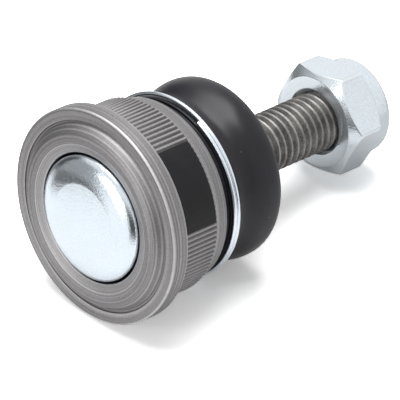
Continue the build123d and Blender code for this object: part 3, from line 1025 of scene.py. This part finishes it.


class BALLJOINT_OT_housing(Build):
    """Turn and knurl the steel housing"""

    bl_idname = "ball_joint.housing"
    bl_label = "Housing"

    def front_face(self, size):
        """Corners from the front groove over the rolled bead to the lip's edge."""
        foot = (size.groove_outer - size.groove_width - size.groove_depth / 2, 0.0)
        crest = (size.bead_crest, -size.bead_height)
        step = (size.lip_step, -size.lip_step_height)
        bead = bend(foot, (-0.55, -0.80), (1.1, 0), crest, 30)
        inner = bend(crest, (-0.8, 0), (0.5, -0.12), step, 16)
        return bead + inner[1:]

    def finish_point(self, size, radius, height, wear):
        """Painted highlight lines where the front was rolled, a painted sheen on the lip, and
        painted shade in its groove and behind the lip.
        """
        front = height < size.groove_depth + 0.01 * MM
        inner_edge = size.groove_outer - size.groove_width
        # Thin lines painted bright along the front's small steps and edges, as highlights.
        lines = (
            (size.lip_step, 0.16 * MM, 0.85),
            (size.bead_crest + 1.6 * MM, 0.20 * MM, 0.5),
            (size.groove_outer + 0.2 * MM, 0.22 * MM, 0.35),
            (inner_edge - 0.3 * MM, 0.2 * MM, 0.45),
        )
        if radius < size.lip_radius + 0.01 * MM and height > -size.lip_height:
            return radius, height, LIP_SHADE
        if front and height > 0.1 * MM and size.lip_step < radius < size.groove_outer:
            return radius, height, GROOVE_SHADE
        if front and size.lip_radius < radius < size.lip_step:
            wear = max(wear, LIP_SHEEN)
        for line, width, level in lines:
            if front and height < 0.01 * MM and abs(radius - line) < width:
                wear = max(wear, level * (1 - abs(radius - line) / width))
        return radius, height, wear

    def build(self, settings):
        size = settings.housing
        soft = size.edge_round
        core = size.knurl_radius - size.knurl_depth - 0.05 * MM
        undercut_floor = size.flange_thickness - size.undercut_depth
        corners = [
            *self.front_face(size),
            (size.lip_step - 0.10 * MM, -size.lip_step_height + 0.02 * MM),
            (size.lip_step - 0.25 * MM, -size.lip_step_height + 0.14 * MM),
            (size.lip_radius, -size.lip_height, soft),
            (size.lip_radius, size.pocket_top),
            (size.pocket_radius, size.pocket_top),
            (size.pocket_radius, size.pocket_floor),
            (size.bore_radius, size.pocket_floor),
            (size.bore_radius, size.bore_end),
            (size.throat_radius, size.throat_height, soft),
            (size.mouth_radius, size.housing_end, soft),
            (size.end_lip_radius, size.housing_end, soft),
            (size.end_lip_radius, size.groove_end),
            (size.groove_radius, size.groove_end),
            (size.groove_radius, size.land_end),
            (size.lead_in_radius, size.land_end, soft),
            (size.land_radius, size.knurl_end - 0.05 * MM, 0.1 * MM),
            (core, size.knurl_end),
            (size.knurl_radius, size.knurl_end - size.knurl_break),
            (size.knurl_radius, size.knurl_start + size.knurl_break),
            (core, size.knurl_start),
            (size.relief_radius, size.knurl_start),
            (size.relief_radius, undercut_floor),
            (size.undercut_radius, undercut_floor),
            (size.undercut_radius, size.flange_thickness),
            (size.flange_radius, size.flange_thickness, size.back_break),
            (size.flange_radius, 0.0, size.front_break),
            (size.groove_outer, 0.0, 0.12 * MM),
            (size.groove_outer - size.groove_depth / 2, size.groove_depth, 0.1 * MM),
            (size.groove_outer - size.groove_width, size.groove_depth, 0.1 * MM),
        ]
        points = [self.finish_point(size, *point) for point in outline(corners)]
        knurl = (size.knurl_start - size.ball_depth, size.knurl_end - size.ball_depth)
        piece = turn(
            "housing_body", turning_tree("Knurled Turning", knurled_radius, KNURL_SIZES), points,
            size.ball_depth, sharp=42, columns=size.knurl_teeth * TOOTH_COLUMNS,
            teeth=float(size.knurl_teeth), knurl_radius=size.knurl_radius,
            knurl_depth=size.knurl_depth,
            finish=material("steel", make_turned_steel, settings.finish, *knurl),
        )
        settle(piece, "joint_housing", "turned_steel", "housing")


FLAT_REACH = 0.53           # how far the cap's shoulder leans outwards from the flat
WALL_REACH = 0.60           # how far it leans forwards from the wall


class BALLJOINT_OT_cap(Build):
    """Press the domed cap"""

    bl_idname = "ball_joint.cap"
    bl_label = "Closure cap"

    def build(self, settings):
        size = settings.cap
        finish = settings.finish
        rise = size.flat_height - size.wall_height
        run = size.wall_radius - size.flat_radius

        def shoulder(inset):
            """Rounded shoulder, which starts from the flat with a faint kink."""
            start = (size.flat_radius, inset - size.flat_height)
            end = (size.wall_radius - inset, -size.wall_height + inset / 2)
            first = (start[0] + run * FLAT_REACH, start[1] + run * FLAT_REACH * size.kink)
            return curve(start, first, (end[0], end[1] - rise * WALL_REACH), end, 22)

        rim_bottom = size.rim_top + size.sheet
        corners = [
            (0.0, -size.flat_height),
            (size.flat_radius - 0.15 * MM, -size.flat_height),
            *shoulder(0.0),
            (size.wall_radius, size.rim_top, 0.4 * MM),
            (size.rim_radius, size.rim_top, 0.25 * MM),
            (size.rim_radius, rim_bottom, 0.25 * MM),
            (size.wall_radius - size.sheet, rim_bottom, 0.9 * MM),
            *reversed(shoulder(size.sheet)),
            (0.0, size.sheet - size.flat_height),
        ]
        # Painted shade darkens the cap's wall and rim in the gap under the lip.
        edge = size.wall_radius - 0.15 * MM
        points = paint_gap_shade(outline(corners, closed=False), -0.8 * MM, size.rim_top, edge)
        plate = material("cap", make_zinc_plate, "zinc_plate", finish.zinc, finish.warm_zinc, 1.0)
        depth = settings.housing.ball_depth
        piece = turn("cap_dome", turning_tree("Cap Turning"), points, depth, sharp=50, finish=plate)
        settle(piece, "joint_housing", "zinc_plate", "closure_cap")


BEND_START = 1.2 * MM       # how far before its waist the boot's bend limits start; they are worked out but nothing is bent
CROWN_SHARE = 0.54          # where the boot's crown lies from housing to collar, for those unused bend limits
FOLD_SKIN = 0.12 * MM       # thickness of the skin between the crown and the collar


class BALLJOINT_OT_boot(Build):
    """Mould the rubber dust boot"""

    bl_idname = "ball_joint.boot"
    bl_label = "Dust boot"

    def outside(self, size):
        """Corners from the clamp's seat through the waist and over the bulge to the crown."""
        foot = (size.foot_radius, size.clamp_end)
        waist = (size.waist_radius, size.waist_height)
        bulge = (size.bulge_radius, size.bulge_height)
        crown = (size.crown_radius, size.crown_height)
        lower = bend(foot, (-1.14, 0.68), (0, -1.33), waist, 10)
        side = bend(waist, (0, 2.2), (0, -3.9), bulge, 18)
        upper = bend(bulge, (0, 3.5), (1.8, 0), crown, 16)
        return lower + side[1:] + upper[1:]

    def inside(self, size):
        """Corners back under the crown and the bulge to the housing's end lip."""
        crown = (size.crown_radius, size.crown_height - size.wall)
        bulge = (size.bulge_radius - size.wall, size.bulge_height)
        neck = (size.neck_inner, size.neck_end)
        upper = bend(crown, (1.2, 0), (0, 1.6), bulge, 12)
        return upper + bend(bulge, (0, -3.2), (0, 2.6), neck, 12)[1:]

    def build(self, settings):
        size = settings.boot
        soft = 0.35 * MM
        web_radius = size.collar_radius + size.wall
        groove = size.ring_wire + 0.1 * MM
        groove_floor = size.ring_radius - size.ring_wire - 0.05 * MM
        crown = (size.crown_radius, size.crown_height)
        web = (web_radius, size.collar_start + size.wall)
        fall = bend(crown, (-1.6, 0), (0.9, 0), web, 12)
        below = [(across + FOLD_SKIN, height - FOLD_SKIN) for across, height in fall[1:]]
        fold = [*fall, *reversed(below)]
        top = [
            web,
            (size.collar_radius, size.collar_start + size.wall, 0.3 * MM),
            (size.collar_radius, size.ring_height - groove, 0.1 * MM),
            (groove_floor, size.ring_height - groove, 0.2 * MM),
            (groove_floor, size.ring_height + groove, 0.2 * MM),
            (size.collar_radius, size.ring_height + groove, 0.1 * MM),
            (size.collar_radius, size.collar_end, 0.3 * MM),
            (size.collar_inner, size.collar_end, soft),
            (size.collar_inner, size.collar_start, soft),
            (web_radius, size.collar_start, 0.1 * MM),
        ]
        shell = [
            *self.outside(size),
            *self.inside(size),
            (size.neck_inner, size.neck_start),
            (size.foot_inner, size.neck_start, 0.2 * MM),
            (size.foot_inner, size.foot_start, 0.2 * MM),
            (size.lip_radius, size.foot_start, soft),
            (size.lip_radius, size.lip_end, 0.2 * MM),
            (size.foot_radius, size.lip_end, 0.1 * MM),
        ]
        depth = settings.housing.ball_depth
        tree = turning_tree("Boot Turning")
        rubber = material("rubber", make_rubber, settings.finish)
        forms = {"boot_bellows": shell, "boot_fold": fold, "boot_crown": top}
        bellows, folded, collar = (
            turn(name, tree, outline(corners), depth, sharp=60, finish=rubber)
            for name, corners in forms.items()
        )
        still = size.waist_height - BEND_START
        full = still + (crown[1] - still) / CROWN_SHARE
        above = crown[1] + (crown[1] - web[1]) * CROWN_SHARE / (1 - CROWN_SHARE)
        for piece, start, end in ((bellows, still, full), (folded, above, web[1])):
            low, high = (0.0, 0.0, start - depth), (0.0, 0.0, end - depth)
            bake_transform(piece)
        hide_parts("dust_boot")
        settle(collar, "boot_collar", "boot_rubber")


WIRE_STEPS = 400            # points along the clamp's wire
RING_POINTS = 24            # points round the collar ring's section


class BALLJOINT_OT_wires(Build):
    """Wind the wire clamp and bend the collar's ring"""

    bl_idname = "ball_joint.wires"
    bl_label = "Clamp wire and collar ring"

    def build(self, settings):
        size = settings.clamp
        depth = settings.housing.ball_depth
        bright = material("wire", make_wire, settings.finish)
        clamp = grow(
            "clamp_wire", wire_tree(), steps=WIRE_STEPS, turns=size.turns, radius=size.radius,
            rise=size.turns * (size.wire + size.gap), wire_radius=size.shown_wire / 2,
            start_height=size.start_height - depth, start_angle=size.start_angle, finish=bright,
        )
        close_up(clamp, sharp=50)
        settle(clamp, "joint_housing", "bright_wire", "boot_clamp_ring")
        boot = settings.boot
        corners = [
            (
                boot.ring_radius + boot.ring_wire * cos(at),
                boot.ring_height + boot.ring_wire * sin(at),
            )
            for at in (2 * pi * step / RING_POINTS for step in range(RING_POINTS))
        ]
        tree = turning_tree("Ring Turning")
        ring = turn("collar_wire", tree, outline(corners), depth, columns=180, finish=bright)
        settle(ring, "boot_collar", "bright_wire", "boot_collar_ring")


STUD_COLUMNS = 144          # faces round the stud
BALL_RINGS = 40             # rings of faces on the ball


class BALLJOINT_OT_stud(Build):
    """Turn the ball stud and roll its thread"""

    bl_idname = "ball_joint.stud"
    bl_label = "Ball stud"

    def build(self, settings):
        size = settings.stud
        depth = settings.housing.ball_depth
        lowest = -sqrt(size.ball_radius**2 - size.flat_radius**2)
        highest = sqrt(size.ball_radius**2 - size.neck_radius**2)
        rings = [(1 - cos(pi * ring / BALL_RINGS)) / 2 for ring in range(BALL_RINGS + 1)]
        heights = [lowest + (highest - lowest) * along for along in rings]
        ball = [(sqrt(size.ball_radius**2 - height**2), depth + height) for height in heights]
        shank = [
            (0.0, depth + lowest),
            *ball,
            (size.neck_radius, size.neck_end, size.neck_fillet),
            (size.seat_radius, size.seat_start, 0.5 * MM),
            (size.seat_radius, size.seat_end, 0.1 * MM),
            (size.taper_radius, size.taper_end),
            (size.thread_radius, size.thread_start),
        ]
        tip = [
            (size.thread_radius - size.end_bevel, size.thread_end),
            (size.centre_radius, size.thread_end, 0.1 * MM),
            (0.0, size.thread_end - size.centre_depth),
        ]
        dark = material("phosphate", make_phosphated_steel, settings.finish)
        tree = turning_tree("Stud Turning")
        parts = [
            grow(name, tree, section_mesh(points, depth), columns=STUD_COLUMNS, finish=dark)
            for name, points in (
                ("stud_shank", outline(shank, closed=False)),
                ("stud_tip", outline(tip, closed=False)),
            )
        ]
        thread = grow(
            "stud_thread", thread_tree(), columns=STUD_COLUMNS, radius=size.thread_radius,
            depth=size.thread_depth, pitch=size.pitch, start=size.thread_start - depth,
            end=size.thread_end - depth, run_in=size.pitch / 2, run_out=0.01 * MM,
            bevel=size.end_bevel, finish=dark,
        )
        piece = join(thread, *parts)
        piece.name = "stud_body"
        close_up(piece, sharp=50)
        settle(piece, "stud", "phosphated_steel", "ball_stud")


NUT_COLUMNS = 480           # faces round the nut
NO_BEVEL = -10 * MM         # bevel so far out that it cuts nothing
MILKY_METAL = 0.76          # how metallic the nut's milky plate is
NUT_RUN = 0.8 * MM          # height over which the nut's thread starts and ends


class BALLJOINT_OT_nut(Build):
    """Make the lock nut with its bevels, thread and crimped collar"""

    bl_idname = "ball_joint.nut"
    bl_label = "Lock nut"

    def build(self, settings):
        size = settings.nut
        depth = settings.housing.ball_depth
        corner = size.across_flats / sqrt(3)

        def ramp(start, end, steps=26):
            """Corners along the straight line between two corners."""
            across, up = end[0] - start[0], end[1] - start[1]
            return [
                (start[0] + across * step / steps, start[1] + up * step / steps)
                for step in range(1, steps)
            ]

        face_edge = (size.face_radius, 0.0)
        front_corner = (corner, size.face_bevel)
        back_corner = (corner, size.hexagon_height)
        collar_foot = (size.collar_radius, size.hexagon_height + size.back_bevel)
        corners = [
            (size.thread_root, size.countersink - size.thread_root),
            (size.countersink, 0.0, 0.15 * MM),
            (*face_edge, 0.35 * MM),
            *ramp(face_edge, front_corner),
            front_corner,
            *ramp(front_corner, back_corner, 8),
            back_corner,
            *ramp(back_corner, collar_foot),
            (*collar_foot, 0.4 * MM),
            (size.collar_radius, size.height, size.collar_round),
            (size.window_radius, size.height, 0.3 * MM),
            (size.window_radius, size.pocket_end),
            (size.pocket_radius, size.pocket_end),
            (size.pocket_radius, size.pocket_start),
            (size.thread_root, size.pocket_start),
        ]
        finish = settings.finish
        zinc = material(
            "nut", make_zinc_plate, "milky_zinc", finish.nut_zinc, finish.warm_zinc, MILKY_METAL
        )
        tree = turning_tree("Hexagon Turning", hexagon_radius, ("Apothem", "Rounding"))
        points = outline(corners, closed=False, steps=6)
        body = grow(
            "nut_outside", tree, section_mesh(points, depth - size.start), columns=NUT_COLUMNS,
            turned=size.turned, apothem=size.across_flats / 2, rounding=size.edge_round,
            finish=zinc,
        )
        first = size.start + size.countersink - size.thread_root
        last = size.start + size.pocket_start
        thread = grow(
            "nut_thread", bpy.data.node_groups["Thread"], columns=NUT_COLUMNS,
            turned=size.turned, radius=size.thread_root, depth=size.thread_depth,
            pitch=settings.stud.pitch, start=first - depth, end=last - depth,
            run_in=NUT_RUN, run_out=NUT_RUN, bevel=NO_BEVEL, finish=zinc,
        )
        piece = join(body, thread)
        piece.name = "nut_body"
        close_up(piece, sharp=60)
        settle(piece, "nut", "zinc_plate", "lock_nut")


class BALLJOINT_OT_label(Build):
    """Lay the bare label on the knurled band"""

    bl_idname = "ball_joint.label"
    bl_label = "Bare label"

    def build(self, settings):
        size = settings.label
        housing = settings.housing
        columns, rows = 260, 12
        inner = housing.knurl_radius - 0.02 * MM
        mesh = bmesh.new()

        def ring(radius, ripple):
            grid = []
            for column in range(columns + 1):
                turn = size.start_angle + (size.end_angle - size.start_angle) * column / columns
                sink = ripple * (1 - cos(turn * housing.knurl_teeth)) / 2
                across = radius - sink
                for row in range(rows + 1):
                    rise = size.start_height + (size.end_height - size.start_height) * row / rows
                    place = (across * cos(turn), across * sin(turn), rise - housing.ball_depth)
                    grid.append(mesh.verts.new(place))
            return grid

        below = ring(inner, 0.0)
        above = ring(inner + size.thickness, size.ripple)

        def at(grid, column, row):
            return grid[column * (rows + 1) + row]

        for grid in (below, above):
            for column in range(columns):
                for row in range(rows):
                    mesh.faces.new([
                        at(grid, column, row), at(grid, column + 1, row),
                        at(grid, column + 1, row + 1), at(grid, column, row + 1),
                    ])
        border = [(column, 0) for column in range(columns)]
        border += [(columns, row) for row in range(rows)]
        border += [(column, rows) for column in range(columns, 0, -1)]
        border += [(0, row) for row in range(rows, 0, -1)]
        for first, second in zip(border, border[1:] + border[:1]):
            mesh.faces.new([
                at(below, *first), at(below, *second), at(above, *second), at(above, *first),
            ])
        data = bpy.data.meshes.new("bare_label")
        mesh.to_mesh(data)
        mesh.free()
        data.materials.append(material("label", make_label_foil, settings.finish))
        piece = bpy.data.objects.new("bare_label", data)
        bpy.context.scene.collection.objects.link(piece)
        close_up(piece, sharp=40)
        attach(piece, "joint_housing")


class BALLJOINT_OT_inner_pieces(Build):
    """Give the bearing cups, the spring and the nut's insert their finishes"""

    bl_idname = "ball_joint.inner_pieces"
    bl_label = "Inner pieces"

    def build(self, settings):
        finish = settings.finish
        plastic = material("bearing", make_moulded, "bearing_plastic", finish.bearing, 0.38)
        finishes = {
            "bearing_shell": plastic,
            "pressure_seat": plastic,
            "preload_spring": material("spring", make_spring_steel, finish),
            "nut_insert": material("nylon", make_moulded, "insert_nylon", finish.nylon, 0.34),
        }
        for node, made in finishes.items():
            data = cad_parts[node].data
            data.materials.clear()
            data.materials.append(made)


# ---------------------------------------------------------------- stage


# Sides of the room that metal mirrors, in degrees: heading from the view's own towards its right,
# half widths in full and at the soft edge, the heights between which each fades in and out again,
# and last its brightness.
ROOM_SIDES = (
    (314, 18, 28, -20, -7, 20, 40, 0.10),
    (276, 17, 23, -20, -16, 18, 40, 0.40),
    (276, 17, 23, -20, -16, -10, 0, 0.14),
    (180, 20, 30, -20, -8, 6, 46, 0.10),
    (45, 24, 38, -34, -22, 0, 14, 0.65),
)


# Soft boxes that look at the ball: how far each stands across, along and up, its width and power.
LAMPS = {
    "key_light": (-0.18, 0.08, 1.14, 0.90, 12.0),
    "fill_light": (-0.11, -1.00, 0.28, 0.55, 2.4),
}


class BALLJOINT_OT_stage(Build):
    """Set up the floor, the lights and the camera"""

    bl_idname = "ball_joint.stage"
    bl_label = "Floor, lights and camera"

    def axes(self, tilt):
        """Across, along and up of a level that leans by an angle from the stud's axis."""
        across = Vector((1, 0, 0))
        along = Vector((0, -sin(tilt), cos(tilt)))
        return across, along, across.cross(along)

    def view_axes(self, size):
        """Right, up and forward of the view."""
        across, along, up = self.axes(size.nose_down)
        level = along * cos(size.heading) - across * sin(size.heading)
        right = across * cos(size.heading) + along * sin(size.heading)
        forward = level * cos(size.elevation) - up * sin(size.elevation)
        return right, right.cross(forward), forward

    def place(self, data, name, spot, right, up, back):
        """Link an object at a spot, turned so that it faces away from back."""
        item = bpy.data.objects.new(name, data)
        bpy.context.scene.collection.objects.link(item)
        turned = Matrix((right, up, back)).transposed().to_4x4()
        item.matrix_world = Matrix.Translation(spot) @ turned
        return item

    def make_camera(self, size):
        right, up, forward = self.view_axes(size)
        lens = bpy.data.cameras.new("view")
        lens.lens = size.lens
        lens.sensor_width = size.sensor
        lens.clip_start = 0.01
        lens.clip_end = 50.0
        spot = right * -size.ball_right - up * size.ball_up - forward * size.distance
        camera = self.place(lens, "view", spot, right, up, -forward)
        bpy.context.scene.camera = camera

    def room(self, nodes, size, ray):
        """How bright the room is along a ray; metal mirrors its dark, grey and near sides."""
        _, _, up = self.axes(size.nose_down)
        right, _, forward = self.view_axes(size)
        level = (forward - up * forward.dot(up)).normalized()

        def towards(direction):
            along = {0: ray, 1: direction}
            node = nodes.add("ShaderNodeVectorMath", along, operation="DOT_PRODUCT")
            return nodes.number(node.outputs["Value"])

        rise = towards(up)
        reach = (rise * rise).from_number(1.0).join("MAXIMUM", 0.0001).join("SQRT")
        shown = None
        for heading, narrow, wide, bottom, floor_edge, ceiling, top, brightness in ROOM_SIDES:
            side = level * cos(radians(heading)) + right * sin(radians(heading))
            facing = (towards(side) / reach).smooth(cos(radians(wide)), cos(radians(narrow)))
            height = rise.smooth(sin(radians(bottom)), sin(radians(floor_edge)))
            roof = rise.smooth(sin(radians(ceiling)), sin(radians(top))).from_number(1.0)
            light = (facing * height * roof * (1.0 - brightness)).from_number(1.0)
            shown = light if shown is None else shown.join("MINIMUM", light)
        return shown

    def make_floor(self, size, settings):
        across, along, _ = self.axes(size.floor_lean)
        housing = settings.housing
        edge = housing.flange_thickness - housing.back_break - housing.ball_depth
        spot = Vector((0.0, housing.flange_radius, edge))
        half = size.floor_size
        mesh = bpy.data.meshes.new("floor")
        signs = ((-1, -1), (1, -1), (1, 1), (-1, 1))
        corners = [spot + across * x * half + along * y * half for x, y in signs]
        mesh.from_pydata(corners, [], [(0, 1, 2, 3)])
        mesh.materials.append(self.floor_material(size, settings))
        floor = bpy.data.objects.new("floor", mesh)
        bpy.context.scene.collection.objects.link(floor)

    def floor_material(self, size, settings):
        """Pale floor that views and reflections see a little brighter, and that is open from below.

        Reflections see it end in the room's sides, as a sheet of paper does.
        """
        made = bpy.data.materials.new("floor_finish")
        made.use_nodes = True
        nodes = Nodes(made.node_tree)
        made.node_tree.nodes.clear()
        dull = nodes.add("ShaderNodeBsdfDiffuse", {"Color": (*size.floor_colour, 1.0)})
        path = nodes.add("ShaderNodeLightPath").outputs
        view = nodes.number(path["Is Camera Ray"])
        seen = view.join("MAXIMUM", path["Is Glossy Ray"])
        seen = seen.join("MAXIMUM", path["Is Transmission Ray"])
        glow = nodes.add(
            "ShaderNodeEmission", {"Strength": seen * size.floor_glow + view * size.view_glow}
        )
        lit = nodes.add("ShaderNodeAddShader", {0: dull.outputs[0], 1: glow.outputs[0]})
        level = view * size.floor_lift
        lifted = nodes.add("ShaderNodeBsdfDiffuse", {"Color": nodes.combine(level, level, level)})
        lit = nodes.add("ShaderNodeAddShader", {0: lit.outputs[0], 1: lifted.outputs[0]})
        clear = nodes.add("ShaderNodeBsdfTransparent")
        cap = Vector((0.0, 0.0, -settings.housing.ball_depth - settings.cap.flat_height))
        place = nodes.add("ShaderNodeTexCoord").outputs["Object"]
        from_cap = nodes.add("ShaderNodeVectorMath", {0: place, 1: cap}, operation="SUBTRACT")
        ray = nodes.add("ShaderNodeVectorMath", {0: from_cap.outputs[0]}, operation="NORMALIZE")
        beyond = self.room(nodes, size, ray.outputs[0]).from_number(1.0) * path["Is Glossy Ray"]
        black = nodes.add("ShaderNodeEmission", {"Strength": 0.0})
        lit = nodes.add("ShaderNodeMixShader", {0: beyond, 1: lit.outputs[0], 2: black.outputs[0]})
        below = nodes.add("ShaderNodeNewGeometry").outputs["Backfacing"]
        sided = nodes.add("ShaderNodeMixShader", {0: below, 1: lit.outputs[0], 2: clear.outputs[0]})
        out = nodes.add("ShaderNodeOutputMaterial")
        nodes.feed(out.inputs["Surface"], sided.outputs[0])
        return made

    def make_world(self, size):
        """White room for views; its darker sides light the object and show in the metal."""
        world = bpy.data.worlds.new("studio")
        bpy.context.scene.world = world
        world.use_nodes = True
        nodes = Nodes(world.node_tree)
        world.node_tree.nodes.clear()
        shown = self.room(nodes, size, nodes.add("ShaderNodeTexCoord").outputs["Generated"])
        path = nodes.add("ShaderNodeLightPath").outputs
        camera = nodes.number(path["Is Camera Ray"])
        mirror = nodes.number(path["Is Glossy Ray"]).join("MAXIMUM", path["Is Transmission Ray"])
        lighting = shown * size.sky_level
        strength = lighting + (shown * size.sky_shine - lighting) * mirror
        strength = strength + (strength.from_number(1.0)) * camera
        background = nodes.add("ShaderNodeBackground", {"Strength": strength})
        out = nodes.add("ShaderNodeOutputWorld")
        nodes.feed(out.inputs["Surface"], background.outputs[0])

    def make_lamp(self, size, name, across_by, along_by, up_by, width, watts):
        across, along, up = self.axes(size.nose_down)
        spot = across * across_by + along * along_by + up * up_by
        data = bpy.data.lights.new(name, "AREA")
        data.size = width
        data.energy = watts
        back = spot.normalized()
        right = back.orthogonal().normalized()
        self.place(data, name, spot, right, back.cross(right), back)

    def build(self, settings):
        size = settings.stage
        self.make_camera(size)
        self.make_floor(size, settings)
        self.make_world(size)
        for name, lamp in LAMPS.items():
            self.make_lamp(size, name, *lamp)
        bpy.context.scene.view_settings.view_transform = "Standard"


# ---------------------------------------------------------------- add-on


OPERATORS = (
    BALLJOINT_OT_housing,
    BALLJOINT_OT_cap,
    BALLJOINT_OT_boot,
    BALLJOINT_OT_wires,
    BALLJOINT_OT_stud,
    BALLJOINT_OT_nut,
    BALLJOINT_OT_label,
    BALLJOINT_OT_inner_pieces,
    BALLJOINT_OT_stage,
)


class BALLJOINT_PT_panel(bpy.types.Panel):
    """Sidebar panel with one button for each piece"""

    bl_label = "Ball Joint"
    bl_space_type = "VIEW_3D"
    bl_region_type = "UI"
    bl_category = "Ball Joint"

    def draw(self, context):
        for operator in OPERATORS:
            self.layout.operator(operator.bl_idname)


CLASSES = (
    HousingSettings,
    CapSettings,
    BootSettings,
    ClampSettings,
    StudSettings,
    NutSettings,
    LabelSettings,
    FinishSettings,
    StageSettings,
    JointSettings,
    *OPERATORS,
    BALLJOINT_PT_panel,
)


def register():
    for made in CLASSES:
        bpy.utils.register_class(made)
    bpy.types.Scene.ball_joint = PointerProperty(type=JointSettings)


def unregister():
    del bpy.types.Scene.ball_joint
    for made in reversed(CLASSES):
        bpy.utils.unregister_class(made)


def main():
    register()
    for operator in OPERATORS:
        name = operator.bl_idname.split(".")[1]
        getattr(bpy.ops.ball_joint, name)()


if __name__ == "__main__":
    main()
